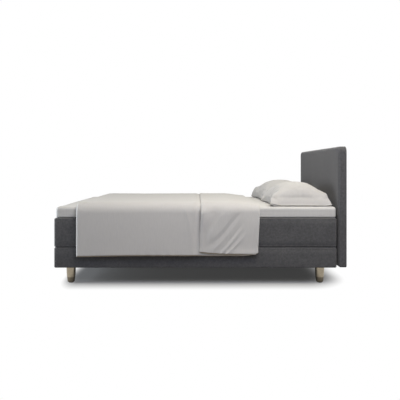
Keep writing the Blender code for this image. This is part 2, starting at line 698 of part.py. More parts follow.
def make_mattress(body):
    middle_z = MATTRESS_BOTTOM + MATTRESS_HEIGHT / 2
    size = (BED_LENGTH, BED_WIDTH, MATTRESS_HEIGHT)
    outer = padded_bm(size, MATTRESS_CORNER_RADIUS, MATTRESS_EDGE_RADIUS, MATTRESS_EDGE_RADIUS)
    cover_mesh = mesh_of("mattress_cover", outer)
    cover = add_piece("mattress_cover", cover_mesh, "charcoal_weave", body, (BED_MIDDLE, 0, middle_z))
    wall = MATTRESS_COVER_WALL
    inner_corner = MATTRESS_FOAM_RADIUS - SEAT
    inside = (BED_LENGTH - 2 * wall, BED_WIDTH - 2 * wall, MATTRESS_HEIGHT - 2 * wall)
    hollow = padded_bm(inside, inner_corner, inner_corner, inner_corner, 2)
    cut(cover, add_cutter("mattress_inside", hollow, body, (BED_MIDDLE, 0, middle_z)))
    margin = 2 * MATTRESS_CORNER_RADIUS
    opening = (BED_LENGTH - margin, BED_WIDTH - margin, wall + MATTRESS_FOAM_RADIUS + OVERRUN)
    opening_z = MATTRESS_BOTTOM - OVERRUN + opening[2] / 2
    cut(cover, add_cutter("mattress_opening", block_bm(opening), body, (BED_MIDDLE, 0, opening_z)))
    panel_size = (
        opening[0] - 2 * SEAT,
        opening[1] - 2 * SEAT,
        MATTRESS_PANEL_THICKNESS,
    )
    panel_z = MATTRESS_BOTTOM + wall - MATTRESS_PANEL_THICKNESS / 2
    panel_place = (BED_MIDDLE, 0, panel_z)
    sheet_piece("mattress_bottom_panel", panel_size, "black_fleece", body, panel_place)

    low = MATTRESS_BOTTOM + wall + SEAT
    high = MATTRESS_TOP - wall - SEAT
    length = inside[0] - 2 * SEAT
    width = inside[1] - 2 * SEAT
    base_top = low + MATTRESS_BASE_FOAM
    top_low = high - MATTRESS_TOP_FOAM
    core_low, core_high = base_top + SEAT, top_low - SEAT
    core_middle = (core_low + core_high) / 2
    core_height = core_high - core_low
    slab = padded_bm((length, width, MATTRESS_BASE_FOAM), MATTRESS_FOAM_RADIUS, SLAT_EDGE,
                     MATTRESS_FOAM_RADIUS, 2)
    add_piece("mattress_base_foam", mesh_of("mattress_base_foam", slab), "foam", body,
              (BED_MIDDLE, 0, low + MATTRESS_BASE_FOAM / 2))
    slab = padded_bm((length, width, MATTRESS_TOP_FOAM), MATTRESS_FOAM_RADIUS,
                     MATTRESS_FOAM_RADIUS, SLAT_EDGE, 2)
    add_piece("mattress_top_foam", mesh_of("mattress_top_foam", slab), "foam", body,
              (BED_MIDDLE, 0, high - MATTRESS_TOP_FOAM / 2))
    frame = block_bm((length, width, core_height))
    bevel(frame, edges_along(frame, 2), MATTRESS_FOAM_RADIUS, 2)
    edge_foam = add_piece("mattress_edge_foam", mesh_of("mattress_edge_foam", frame), "foam",
                          body, (BED_MIDDLE, 0, core_middle))
    core_length = length - 2 * MATTRESS_EDGE_FOAM
    core_width = width - 2 * MATTRESS_EDGE_FOAM
    hole = block_bm((core_length + 2 * SEAT, core_width + 2 * SEAT, core_height + OVERRUN))
    cut(edge_foam, add_cutter("edge_foam_hole", hole, body, (BED_MIDDLE, 0, core_middle)))
    core = pocket_core_bm(core_length, core_width, core_height, MATTRESS_SPRING_PITCH)
    add_piece("mattress_spring_core", mesh_of("mattress_spring_core", core), "spring_pocket",
              body, (BED_MIDDLE, 0, core_middle))


# Topper


def make_topper(body):
    middle_z = TOPPER_BOTTOM + TOPPER_HEIGHT / 2
    place = (BED_MIDDLE, 0, middle_z)
    size = (
        BED_LENGTH - 2 * TOPPER_INSET_LENGTHWISE,
        BED_WIDTH - 2 * TOPPER_INSET_CROSSWISE,
        TOPPER_HEIGHT,
    )
    outer = padded_bm(size, TOPPER_CORNER_RADIUS, TOPPER_TOP_RADIUS, TOPPER_BOTTOM_RADIUS)
    sheet = add_piece("fitted_sheet", mesh_of("fitted_sheet", outer), "white_sheet", body, place)
    hollow = topper_layer_bm(size, SHEET_WALL)
    cut(sheet, add_cutter("fitted_sheet_inside", hollow, body, place))
    opening = (size[0] - 2 * SHEET_HEM, size[1] - 2 * SHEET_HEM, 2 * OVERRUN)
    cut(sheet, add_cutter("fitted_sheet_opening", block_bm(opening), body,
                          (BED_MIDDLE, 0, TOPPER_BOTTOM)))
    core = topper_layer_bm(size, SHEET_WALL + SEAT)
    add_piece("topper_core", mesh_of("topper_core", core), "foam", body, place)


def topper_layer_bm(size, inset):
    inner = tuple(length - 2 * inset for length in size)
    return padded_bm(
        inner,
        TOPPER_CORNER_RADIUS - inset,
        TOPPER_TOP_RADIUS - inset,
        TOPPER_BOTTOM_RADIUS - inset,
    )


# Duvet


def duvet_stations():
    """Stations along the quilt, from its foot edge to the fold and back along the turndown.

    Each is (kind, x, share) where share runs from 0 to 1 round the fold.
    """
    foot = FOOT_END + DUVET_FOOT_INSET
    fold = HEAD_END - DUVET_FOLD_INSET
    flap = fold - DUVET_TURNDOWN
    single_shares = (0.0, 0.025, 0.07, 0.24, 0.42, 0.60, 0.78, 0.93)
    under_shares = (0.10, 0.50, 0.85)
    flap_shares = (0.97, 0.90, 0.82, 0.74, 0.66, 0.58, 0.50, 0.42, 0.34, 0.26, 0.18, 0.10, 0.045, 0.0)
    fold_shares = (0.0, 0.5, 1.0)
    stations = [("lower", foot + (flap - foot) * share, 0.0) for share in single_shares]
    stations += [("lower", flap + (fold - flap) * share, 0.0) for share in under_shares]
    stations += [("fold", fold, share) for share in fold_shares]
    stations += [("flap", flap + (fold - flap) * share, 0.0) for share in flap_shares]
    return stations


def drape_point(t, height, x):
    """A point at this height above the drape's outline, t from -1 at one hem to 1 at the other."""
    top_share, bend_share = DUVET_TOP_SHARE, DUVET_BEND_SHARE
    half_width = BED_WIDTH / 2 + DUVET_SIDE_CLEARANCE
    top = TOPPER_TOP + SEAT
    flat = half_width - DUVET_INNER_RADIUS
    centre_z = top - DUVET_INNER_RADIUS
    reach, side = abs(t), math.copysign(1, t)
    if reach <= top_share:
        return (x, side * flat * reach / top_share, top + height)
    if reach <= bend_share:
        angle = math.pi / 2 * (reach - top_share) / (bend_share - top_share)
        radius = DUVET_INNER_RADIUS + height
        y = flat + radius * math.sin(angle)
        return (x, side * y, centre_z + radius * math.cos(angle))
    down = (reach - bend_share) / (1 - bend_share)
    return (x, side * (half_width + height), centre_z - down * (centre_z - hem_height(x)))


def hem_height(x):
    """The hem hangs a little lower towards the foot end."""
    foot = FOOT_END + DUVET_FOOT_INSET
    sag = DUVET_HEM_SAG * smoothstep(foot + DUVET_TURNDOWN, foot, x)
    return DUVET_HEM_HEIGHT - sag


def side_drop(t):
    """How far down the hanging side a point lies, 0 on top and 1 at the hem."""
    start = DUVET_SIDE_START_SHARE
    return min(max((abs(t) - start) / (1 - start), 0.0), 1.0)


def quilt_thickness(kind, x, t):
    """Thickness of one layer, plump on top and thin at sewn edges and at the fold."""
    foot = FOOT_END + DUVET_FOOT_INSET
    fold = HEAD_END - DUVET_FOLD_INSET
    flap = fold - DUVET_TURNDOWN
    share = 1.0
    if kind == "lower":
        share -= (1 - DUVET_UNDER_SHARE) * smoothstep(flap - DUVET_EDGE_WIDTH, flap + DUVET_EDGE_WIDTH, x)
        edge = smoothstep(foot - TINY, foot + DUVET_EDGE_WIDTH, x)
    else:
        share = DUVET_FLAP_SHARE
        edge = smoothstep(flap - TINY, flap + DUVET_EDGE_WIDTH, x)
    thin = smoothstep(fold - DUVET_FOLD_RUN, fold, x)
    share = share + (DUVET_FOLD_SHARE - share) * thin
    drop = side_drop(t)
    share *= 1 - (1 - DUVET_SIDE_SHARE) * smoothstep(0, DUVET_SIDE_THIN_SHARE, drop)
    hem = 1 - (1 - DUVET_EDGE_SHARE) * smoothstep(DUVET_HEM_START_SHARE, 1, drop)
    return DUVET_THICKNESS * share * (DUVET_EDGE_SHARE + (1 - DUVET_EDGE_SHARE) * edge) * hem


def flap_folds(x, t):
    """Slanting folds that run down the turned-back side from its fold to its free corner."""
    drop = side_drop(t)
    fold = HEAD_END - DUVET_FOLD_INSET
    fall = drop * (TOPPER_TOP - DUVET_HEM_HEIGHT)
    wave = math.cos(math.tau * (fold - x - DUVET_FOLD_SLANT_SHARE * fall) / DUVET_FOLD_PITCH)
    strength = smoothstep(*DUVET_FLAP_FOLD_SHARES, drop) * smoothstep(fold, fold - DUVET_EDGE_WIDTH, x)
    return DUVET_FOLD_DEPTH * strength * (0.5 + 0.5 * wave)


def lower_folds(x, t):
    """Shallow swells down the hanging side of the lower layer."""
    foot = FOOT_END + DUVET_FOOT_INSET
    wave = math.cos(math.tau * (x - foot) / DUVET_LOWER_PITCH)
    return DUVET_LOWER_DEPTH * smoothstep(*DUVET_SWELL_SHARES, side_drop(t)) * (0.5 + 0.5 * wave)


def lower_top(x, t):
    return quilt_thickness("lower", x, t) + lower_folds(x, t)


def layer_pair(kind, x, share, t):
    """Heights of the quilt's two faces here: the one that ends up outside, then the inner one."""
    if kind == "lower":
        return (x, 0.0), (x, lower_top(x, t))
    fold = HEAD_END - DUVET_FOLD_INSET
    flap_low = lower_top(x, t) + DUVET_LAYER_GAP
    if kind == "flap":
        folds = flap_folds(x, t)
        return (x, flap_low + folds + quilt_thickness("flap", x, t)), (x, flap_low + folds)
    outer_high = flap_low + quilt_thickness("flap", fold, t)
    middle = (flap_low + lower_top(fold, t)) / 2
    angle = math.pi * (share - 0.5)
    bulge = outer_high / 2 * math.cos(angle)
    outer = (fold + bulge, outer_high / 2 * (1 + math.sin(angle)))
    gap = DUVET_LAYER_GAP / 2
    return outer, (fold + gap * math.cos(angle), middle + gap * math.sin(angle))


def duvet_bm():
    side_shares = (1.0, 0.97, 0.88, 0.78, 0.68)
    crossings = list(side_shares)
    for step in range(DUVET_BEND_STEPS + 1):
        share = step / DUVET_BEND_STEPS
        crossings.append(DUVET_BEND_SHARE + (DUVET_TOP_SHARE - DUVET_BEND_SHARE) * share)
    spread = [-t for t in crossings] + [0.0] + list(reversed(crossings))
    bm = bmesh.new()
    outer_rows, inner_rows = [], []
    for kind, x, share in duvet_stations():
        outer_row, inner_row = [], []
        for t in spread:
            outer, inner = layer_pair(kind, x, share, t)
            outer_row.append(bm.verts.new(lifted(kind, drape_point(t, outer[1], outer[0]), t)))
            inner_row.append(bm.verts.new(lifted(kind, drape_point(t, inner[1], inner[0]), t)))
        outer_rows.append(outer_row)
        inner_rows.append(inner_row)
    for rows in (outer_rows, inner_rows):
        for near, far in zip(rows, rows[1:]):
            for index in range(len(spread) - 1):
                bm.faces.new((near[index], near[index + 1], far[index + 1], far[index]))
    for near, far, near_in, far_in in zip(outer_rows, outer_rows[1:], inner_rows, inner_rows[1:]):
        for edge in (0, -1):
            bm.faces.new((near[edge], far[edge], far_in[edge], near_in[edge]))
    for row, row_in in ((outer_rows[0], inner_rows[0]), (outer_rows[-1], inner_rows[-1])):
        for index in range(len(spread) - 1):
            bm.faces.new((row[index], row[index + 1], row_in[index + 1], row_in[index]))
    return bm


def lifted(kind, point, t):
    """The turned-back hem hangs a little higher than the lower one."""
    if kind == "lower":
        return point
    x, y, z = point
    return (x, y, z + DUVET_FLAP_LIFT * smoothstep(DUVET_FLAP_LIFT_SHARE, 1, side_drop(t)))


def make_duvet(body):
    bm = duvet_bm()
    bmesh.ops.translate(bm, vec=-world_place(body), verts=bm.verts)
    add_piece("duvet", mesh_of("duvet", bm), "ivory_cotton", body, world_place(body))


# Pillows


def pillow_lens(share, power):
    return (1 - share * share) ** power if abs(share) < 1 else 0.0


def pillow_bm(outward, wall, mouth):
    """Points of a crowned pillow, inset by this wall and resting flat on Z = 0, in rows.

    outward is -1 or 1, the way that faces away from the bed's middle. With mouth the inner
    end stays open as two lips.
    """
    bm = bmesh.new()
    half_deep = PILLOW_DEPTH / 2 - wall
    half_wide = PILLOW_WIDTH / 2 - wall
    rows = []
    for j in range(PILLOW_STEPS_WIDE + 1):
        w = math.sin(math.pi / 2 * (2 * j / PILLOW_STEPS_WIDE - 1))
        top_row, low_row = [], []
        for i in range(PILLOW_STEPS_DEEP + 1):
            u = math.sin(math.pi / 2 * (2 * i / PILLOW_STEPS_DEEP - 1))
            x, y, high, low = pillow_section(u, w, half_deep, half_wide, wall, mouth)
            top_row.append(bm.verts.new((x, -outward * y, high)))
            low_row.append(bm.verts.new((x, -outward * y, low)))
        rows.append((top_row, low_row))
    return bm, rows


def pillow_section(u, w, half_deep, half_wide, wall, mouth):
    """Place and upper and lower height of the pillow at shares u across and w along it."""
    draw = PILLOW_DRAW_IN_SHARE
    y = half_wide * w * (1 - draw * (1 - u**4) * abs(w) ** 3)
    end = pillow_lens(w, PILLOW_END_POWER)
    if w > 0:
        y += (wall if mouth else wall - PILLOWCASE_HEM) * w**6
    if mouth and w > 0:
        end = max(end, PILLOWCASE_MOUTH_SHARE)
    along = y / (PILLOW_WIDTH / 2)
    x = half_deep * u * (1 - draw * (1 - along**4) * abs(u) ** 3)
    plump = pillow_lens(u, PILLOW_SIDE_POWER) * end
    seam = PILLOW_SEAM_HEIGHT * (1 - PILLOW_SEAM_DIP_SHARE * u**4 * along**4)
    high = seam + (PILLOW_RISE - wall) * plump
    low = max(seam - (PILLOW_DROP - wall) * plump, wall)
    return x, y, high, low


def skin_rows(bm, rows):
    """Faces of a pillow's upper and lower surface."""
    for side in (0, 1):
        for near, far in zip(rows, rows[1:]):
            for i in range(PILLOW_STEPS_DEEP):
                bm.faces.new((near[side][i], near[side][i + 1], far[side][i + 1], far[side][i]))


def filling_bm(outward):
    bm, rows = pillow_bm(outward, PILLOWCASE_WALL + PILLOWCASE_LOOSENESS, False)
    skin_rows(bm, rows)
    bmesh.ops.remove_doubles(bm, verts=bm.verts, dist=TINY)
    return bm


def pillowcase_bm(outward):
    """A bag of cloth with its open end towards the middle of the bed."""
    outer, outer_rows = pillow_bm(outward, 0, True)
    skin_rows(outer, outer_rows)
    lips = [[(v.co.copy()) for v in half] for half in outer_rows[-1]]
    bmesh.ops.remove_doubles(outer, verts=outer.verts, dist=TINY)
    inner, inner_rows = pillow_bm(outward, PILLOWCASE_WALL, True)
    skin_rows(inner, inner_rows)
    inner_lips = [[(v.co.copy()) for v in half] for half in inner_rows[-1]]
    bmesh.ops.remove_doubles(inner, verts=inner.verts, dist=TINY)
    spare = bpy.data.meshes.new("pillowcase_inside")
    inner.to_mesh(spare)
    inner.free()
    outer.from_mesh(spare)
    bpy.data.meshes.remove(spare)
    for half, inner_half in zip(lips, inner_lips):
        for i in range(PILLOW_STEPS_DEEP):
            corners = (half[i], half[i + 1], inner_half[i + 1], inner_half[i])
            outer.faces.new([outer.verts.new(corner) for corner in corners])
    bmesh.ops.remove_doubles(outer, verts=outer.verts, dist=TINY)
    return outer


def make_pillows(bodies):
    x = HEAD_END - PILLOW_CENTRE_INSET
    for side, across in SIDES:
        y = across * (PILLOW_WIDTH + PILLOW_SPACING) / 2
        place = (x, y, TOPPER_TOP + SEAT)
        body = bodies[side]
        filling = mesh_of("pillow_" + side, filling_bm(across))
        add_piece("pillow_" + side, filling, "ivory_cotton", body, place)
        case = mesh_of("pillowcase_" + side, pillowcase_bm(across))
        add_piece("pillowcase_" + side, case, "ivory_cotton", body, place)


def main():
    clear_scene()
    base = carrier("base_body", (BED_MIDDLE, 0, 0))
    mattress = carrier("mattress_body", (BED_MIDDLE, 0, MATTRESS_BOTTOM))
    topper = carrier("topper_body", (BED_MIDDLE, 0, TOPPER_BOTTOM), mattress)
    duvet = carrier("duvet_body", (BED_MIDDLE, 0, TOPPER_TOP), topper)
    pillows = {}
    for side, across in SIDES:
        place = (
            HEAD_END - PILLOW_CENTRE_INSET,
            across * (PILLOW_WIDTH + PILLOW_SPACING) / 2,
            TOPPER_TOP,
        )
        pillows[side] = carrier(f"pillow_{side}_body", place, topper)
    make_base_frame(base)
    base_cover, dust_cover = make_base_covers(base)
    make_base_filling(base)
    make_feet(base, dust_cover)
    make_headboard(base, base_cover)
    make_mattress(mattress)
    make_topper(topper)
    make_duvet(duvet)
    make_pillows(pillows)


main()
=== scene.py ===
"""Looks of the box spring bed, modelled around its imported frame.

The head of the bed is at +X, the side that the camera sees is at -Y, and the bed stands on
Z = 0. Lengths are in metres.
"""

import json
import math

import bmesh
import bpy
import numpy as np
from bpy.props import FloatProperty, FloatVectorProperty, IntProperty, PointerProperty
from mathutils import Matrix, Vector, noise


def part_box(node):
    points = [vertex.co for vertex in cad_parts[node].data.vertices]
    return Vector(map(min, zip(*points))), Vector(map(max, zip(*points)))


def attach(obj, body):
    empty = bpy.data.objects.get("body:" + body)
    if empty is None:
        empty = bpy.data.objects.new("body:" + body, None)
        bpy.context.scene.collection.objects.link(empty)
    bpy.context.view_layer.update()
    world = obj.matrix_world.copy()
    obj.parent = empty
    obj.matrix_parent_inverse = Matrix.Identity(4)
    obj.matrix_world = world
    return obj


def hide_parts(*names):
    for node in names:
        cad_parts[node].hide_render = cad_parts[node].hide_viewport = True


bl_info = {
    "name": "Box Spring Bed",
    "version": (1, 0, 0),
    "blender": (4, 5, 0),
    "location": "View3D > Sidebar > Bed",
    "description": "Builds the upholstery, bedding and feet of a box spring bed around its frame",
    "category": "Add Mesh",
}

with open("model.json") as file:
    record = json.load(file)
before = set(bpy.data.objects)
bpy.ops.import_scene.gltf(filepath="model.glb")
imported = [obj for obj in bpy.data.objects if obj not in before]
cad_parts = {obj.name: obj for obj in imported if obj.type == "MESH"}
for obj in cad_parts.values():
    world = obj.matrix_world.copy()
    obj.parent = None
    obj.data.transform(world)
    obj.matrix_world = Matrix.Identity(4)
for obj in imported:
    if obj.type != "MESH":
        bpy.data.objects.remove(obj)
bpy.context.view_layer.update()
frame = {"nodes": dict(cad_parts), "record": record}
HEADBOARD_LOW, HEADBOARD_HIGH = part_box("headboard_cover")
DUVET_LOW, DUVET_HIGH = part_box("duvet")
SIDES = {"right": -1, "left": 1}
CORNERS = ("foot_right", "foot_left", "head_right", "head_left")
SKIN = 0.0004  # how far a new surface keeps inside or outside its neighbour
TOUCH = 1e-5  # how far off a plane a point may lie and still count as in it


def length(name, description, default):
    """A length property in metres."""
    return FloatProperty(
        name=name,
        description=description,
        default=default,
        min=0.0,
        precision=4,
        unit="LENGTH",
    )


def colour(name, description, default):
    """A colour property, linear RGB."""
    return FloatVectorProperty(
        name=name,
        description=description,
        default=default,
        size=3,
        min=0.0,
        max=1.0,
        subtype="COLOR",
    )


class BedSizes(bpy.types.PropertyGroup):
    """Sizes of the upholstery and the bedding that the frame leaves open."""

    upholstery_cell: length("Upholstery cell", "Size of the faces of a cover", 0.040)
    upholstery_wave: length("Upholstery wave", "Unevenness of the padding", 0.0012)
    seam_depth: length("Seam depth", "Depth of a sewn seam in the upholstery", 0.0010)
    seam_width: length("Seam width", "Width of a sewn seam in the upholstery", 0.0030)
    base_corner: length("Base corner", "Radius of the base's upright corners", 0.014)
    base_edge: length("Base edge", "Radius of the base's top edge", 0.011)
    mattress_corner: length("Mattress corner", "Radius of the mattress's upright corners", 0.016)
    mattress_edge: length("Mattress edge", "Radius of the mattress's top and bottom edge", 0.012)
    underside_edge: length("Underside edge", "Radius of the base's bottom edge", 0.009)
    headboard_corner: length("Headboard corner", "Radius of the headboard's top corners", 0.040)
    headboard_front: length("Headboard front", "Radius round the headboard's front", 0.022)
    headboard_foot: length("Headboard foot", "Radius of the headboard's bottom corners", 0.014)
    headboard_back: length("Headboard back", "Radius round the headboard's back", 0.0065)
    topper_corner: length("Topper corner", "Radius of the topper's upright corners", 0.022)
    topper_edge: length("Topper edge", "Radius of the topper's top edge", 0.020)
    sheet_hem: length("Sheet hem", "How far the fitted sheet reaches under the topper", 0.080)
    duvet_cell: length("Duvet cell", "Size of the faces of the duvet", 0.0105)
    duvet_thickness: length("Duvet thickness", "Thickness of the duvet on top of the bed", 0.0325)
    turndown: length("Turndown", "How far the duvet's head end is turned back", 0.409)
    hem_band: length("Hem band", "Distance of the duvet's stitches from its edge", 0.0090)
    hem_depth: length("Hem depth", "Depth of the stitched line in the duvet's edge", 0.0008)
    fold_depth: length("Fold depth", "Depth of the folds in the duvet's sides", 0.0046)
    flap_standoff: length("Flap standoff", "How far the turned-back edge stands off", 0.013)
    pillow_cell: length("Pillow cell", "Size of the faces of a pillow before it is blown up", 0.011)
    pillowcase_hem: length("Pillowcase hem", "Width of the hem at a pillowcase's mouth", 0.040)
    pillow_pressure: FloatProperty(
        name="Pillow pressure",
        description="Pressure that blows up the pillows",
        default=5.0,
        min=0.0,
    )
    pillow_frames: IntProperty(
        name="Pillow frames",
        description="Frames of the pillows' simulation",
        default=22,
        min=1,
    )


class BedColours(bpy.types.PropertyGroup):
    """Colours of the finishes."""

    charcoal: colour("Charcoal", "Upholstery weave", (0.097, 0.096, 0.099))
    ivory: colour("Ivory", "Duvet and pillows", (0.620, 0.605, 0.585))
    sheet: colour("Sheet", "Fitted sheet", (0.630, 0.620, 0.600))
    # painted shade: the duvet's material gives every surface that faces down this darker tan, at its hem
    # and in its folds alike
    hem: colour("Hem", "Underside of the duvet's hem", (0.420, 0.340, 0.250))
    metal: colour("Metal", "Turned feet", (0.300, 0.256, 0.188))
    fleece: colour("Fleece", "Cloth under the base and behind the headboard", (0.020, 0.020, 0.022))
    floor: colour("Floor", "Studio floor", (0.310, 0.310, 0.310))


def sizes():
    return bpy.context.scene.bed_sizes


def colours():
    return bpy.context.scene.bed_colours


# Nodes of the materials


class Nodes:
    """Short ways to add nodes to the tree of a material or the world."""

    def __init__(self, tree):
        self.tree = tree

    def join(self, value, socket):
        """Links a socket, or sets its value."""
        if isinstance(value, bpy.types.NodeSocket):
            self.tree.links.new(value, socket)
        elif isinstance(value, (tuple, list)) and len(value) == 3 and socket.type == "RGBA":
            socket.default_value = (*value, 1.0)
        else:
            socket.default_value = value

    def add(self, kind, inputs=(), output=0, **settings):
        """Adds a node and gives back one of its outputs."""
        node = self.tree.nodes.new("ShaderNode" + kind)
        for key, value in settings.items():
            setattr(node, key, value)
        for key, value in dict(inputs).items():
            self.join(value, node.inputs[key])
        return node.outputs[output]

    def math(self, operation, first, second=0.0):
        return self.add("Math", {0: first, 1: second}, operation=operation)

    def seen(self):
        """1 for the rays that show the white background: straight, or by way of metal or glass."""
        rays = self.tree.nodes.new("ShaderNodeLightPath").outputs
        seen = self.math("MAXIMUM", rays["Is Camera Ray"], rays["Is Glossy Ray"])
        return self.math("MAXIMUM", seen, rays["Is Transmission Ray"])


class Shader(Nodes):
    """A new material with one Principled shader."""

    FACING_SHARE = 0.7  # of the normal along an axis, above which the surface faces that axis
    NOISE_LOW, NOISE_HIGH = 0.3, 0.7  # the part of a noise's range in which a tone changes

    def __init__(self, name, **values):
        self.material = bpy.data.materials.new(name)
        self.material.use_nodes = True
        super().__init__(self.material.node_tree)
        self.principled = self.tree.nodes["Principled BSDF"]
        for key, value in values.items():
            self.set(key.replace("_", " "), value)

    def set(self, socket, value):
        """Sets or links an input of the Principled shader."""
        names = {name.lower(): name for name in self.principled.inputs.keys()}
        self.join(value, self.principled.inputs[names[socket]])

    def done(self, tone, normal, roughness=None):
        """Sets the colour, the bump and the gloss, and gives back the material."""
        self.set("base color", tone)
        self.set("normal", normal)
        if roughness is not None:
            self.set("roughness", roughness)
        return self.material

    def place(self):
        return self.add("TexCoord", output="Object")

    def normal(self):
        return self.parts(self.add("NewGeometry", output="Normal"))

    def parts(self, vector):
        split = self.tree.nodes.new("ShaderNodeSeparateXYZ")
        self.join(vector, split.inputs[0])
        return tuple(split.outputs)

    def noise(self, scale, detail=2.0, roughness=0.5, stretch=(1.0, 1.0, 1.0)):
        """Noise over the object's own place, stretched along its axes."""
        mapped = self.add("Mapping", {"Vector": self.place(), "Scale": stretch})
        inputs = {"Vector": mapped, "Scale": scale, "Detail": detail, "Roughness": roughness}
        return self.add("TexNoise", inputs)

    def ramp(self, value, low=NOISE_LOW, high=NOISE_HIGH, to_low=0.0, to_high=1.0):
        """A smooth step from to_low to to_high while the value goes from low to high."""
        inputs = {"Value": value, "From Min": low, "From Max": high, "To Min": to_low, "To Max": to_high}
        return self.add("MapRange", inputs, interpolation_type="SMOOTHSTEP")

    def mix(self, share, first, second, blend_type="MIX"):
        node = self.tree.nodes.new("ShaderNodeMix")
        node.data_type = "RGBA"
        node.blend_type = blend_type
        colours_in = [socket for socket in node.inputs if socket.type == "RGBA"]
        for value, socket in zip((share, first, second), (node.inputs[0], *colours_in)):
            self.join(value, socket)
        return next(socket for socket in node.outputs if socket.type == "RGBA")

    def dimmed(self, tone, share):
        """This colour times another."""
        return self.mix(1.0, tone, share, "MULTIPLY")

    def bump(self, height, distance, strength=1.0, normal=None):
        inputs = {"Height": height, "Distance": distance, "Strength": strength}
        if normal is not None:
            inputs["Normal"] = normal
        return self.add("Bump", inputs)

    def across(self):
        """Two coordinates that lie in the surface, whichever axis it faces."""
        x, y, z = self.parts(self.place())
        found = []
        for axis, first in ((0, x), (2, z)):
            size = self.math("ABSOLUTE", self.normal()[axis])
            facing = self.math("GREATER_THAN", size, self.FACING_SHARE)
            turned = self.math("MULTIPLY", facing, self.math("SUBTRACT", y, first))
            found.append(self.math("ADD", turned, first))
        return found

    def weave(self, pitch):
        """Height of a plain weave: threads pass over and under each other in turn."""
        waves, cells = [], []
        for value in self.across():
            turns = self.math("DIVIDE", value, pitch)
            wave = self.math("SINE", self.math("MULTIPLY", turns, math.pi))
            waves.append(self.math("ABSOLUTE", wave))
            cells.append(self.math("FLOOR", turns))
        odd = self.math("MODULO", self.math("ABSOLUTE", self.math("ADD", *cells)), 2.0)
        over = self.math("SUBTRACT", *waves)
        return self.math("ADD", self.math("MULTIPLY", odd, over), waves[1])


def shaded(base, share):
    """This colour, lighter or darker."""
    return tuple(min(1.0, value * share) for value in base)


def charcoal_weave(name):
    """Mottled upholstery cloth: coarse weave, flecked yarn and soft cloudiness."""
    base = colours().charcoal
    shader = Shader(name, roughness=0.95, sheen_weight=0.15, sheen_roughness=0.5)
    fleck = shader.noise(420.0, 3.0, 0.7)
    mottle = shader.noise(85.0, 4.0, 0.65)
    cloud = shader.noise(4.0, 3.0)
    tone = shader.mix(shader.ramp(mottle), shaded(base, 0.84), shaded(base, 1.20))
    tone = shader.mix(shader.ramp(fleck, 0.35, 0.65), shader.dimmed(tone, (0.88, 0.88, 0.88)), tone)
    tone = shader.mix(shader.ramp(cloud), shader.dimmed(tone, (0.86, 0.86, 0.87)), tone)
    height = shader.math("ADD", shader.weave(0.0016), shader.math("MULTIPLY", fleck, 0.8))
    return shader.done(tone, shader.bump(height, 0.0004, 0.8, shader.bump(mottle, 0.0010, 0.5)))


def cotton(name, base, painted_underside_shade=False):
    """Fine percale: close weave, faint slubs and soft creases; where asked, a painted shade turns every
    surface that faces down a darker tan.
    """
    shader = Shader(name, roughness=0.80, sheen_weight=0.08, sheen_roughness=0.4)
    slub = shader.noise(60.0, 3.0, 0.6, stretch=(3.0, 1.0, 0.35))
    crease = shader.noise(9.0, 5.0, 0.55)
    tone = shader.mix(shader.ramp(slub, 0.35, 0.65), shaded(base, 0.975), shaded(base, 1.01))
    # painted shade: the more a surface faces down, the more it takes the darker tan
    if painted_underside_shade:
        downward = shader.ramp(shader.normal()[2], -0.25, -0.75)
        tone = shader.mix(downward, tone, tuple(colours().hem))
    fine = shader.bump(shader.weave(0.0007), 0.00015, 0.6)
    return shader.done(tone, shader.bump(crease, 0.0040, 0.22, fine))


def fleece(name):
    """Black non-woven cloth with matted fibres."""
    base = tuple(colours().fleece)
    shader = Shader(name, sheen_weight=0.3, sheen_roughness=0.6)
    fibre = shader.noise(300.0, 5.0, 0.7)
    gloss = shader.ramp(shader.noise(40.0, 3.0), to_low=0.88, to_high=0.98)
    tone = shader.mix(shader.ramp(fibre, 0.4, 0.6), base, shaded(base, 2.2))
    return shader.done(tone, shader.bump(fibre, 0.0005, 0.8), gloss)


def turned_metal(name):
    """Polished metal with the fine rings that turning leaves, and a painted reflection of the floor's
    shadow that darkens it near the floor.
    """
    base = colours().metal
    shader = Shader(name, metallic=0.85)
    rings = shader.noise(40.0, 4.0, 0.7, stretch=(1.0, 1.0, 60.0))
    gloss = shader.ramp(shader.noise(25.0, 3.0), to_low=0.12, to_high=0.19)
    # painted reflection: the lowest part of a foot turns dark, as if it mirrored the shadowed floor
    painted_floor_reflection = shader.ramp(shader.parts(shader.place())[2], 0.047, 0.037)
    tone = shader.mix(shader.ramp(rings), shaded(base, 1.02), shaded(base, 1.16))
    tone = shader.mix(painted_floor_reflection, tone, shaded(base, 0.50))
    return shader.done(tone, shader.bump(rings, 0.00008, 0.6), gloss)


def plain_metal(name, base, roughness):
    """Plated small parts: faint blotches in colour and gloss."""
    shader = Shader(name, metallic=1.0)
    blotch = shader.noise(180.0, 3.0)
    tone = shader.mix(shader.ramp(blotch), shaded(base, 0.92), shaded(base, 1.06))
    gloss = shader.ramp(blotch, to_low=roughness * 0.9, to_high=roughness * 1.15)
    return shader.done(tone, shader.bump(blotch, 0.00006, 0.5), gloss)


def black_plastic(name):
    """Moulded plastic with a fine spark-eroded grain."""
    shader = Shader(name)
    grain = shader.noise(900.0, 2.0)
    tone = shader.mix(grain, (0.012, 0.012, 0.013), (0.022, 0.022, 0.023))
    gloss = shader.ramp(grain, to_low=0.45, to_high=0.60)
    return shader.done(tone, shader.bump(grain, 0.00010, 0.6), gloss)


def pine(name):
    """Sawn pine: rings along the board, dark streaks and an open surface."""
    shader = Shader(name, roughness=0.7)
    grain = shader.noise(14.0, 5.0, 0.6, stretch=(0.25, 3.0, 6.0))
    streak = shader.noise(60.0, 4.0, 0.7, stretch=(0.15, 2.0, 4.0))
    tone = shader.mix(shader.ramp(grain, 0.35, 0.65), (0.62, 0.43, 0.24), (0.48, 0.30, 0.15))
    tone = shader.mix(shader.ramp(streak, 0.55, 0.75), tone, (0.36, 0.21, 0.10))
    return shader.done(tone, shader.bump(streak, 0.0004, 0.6))


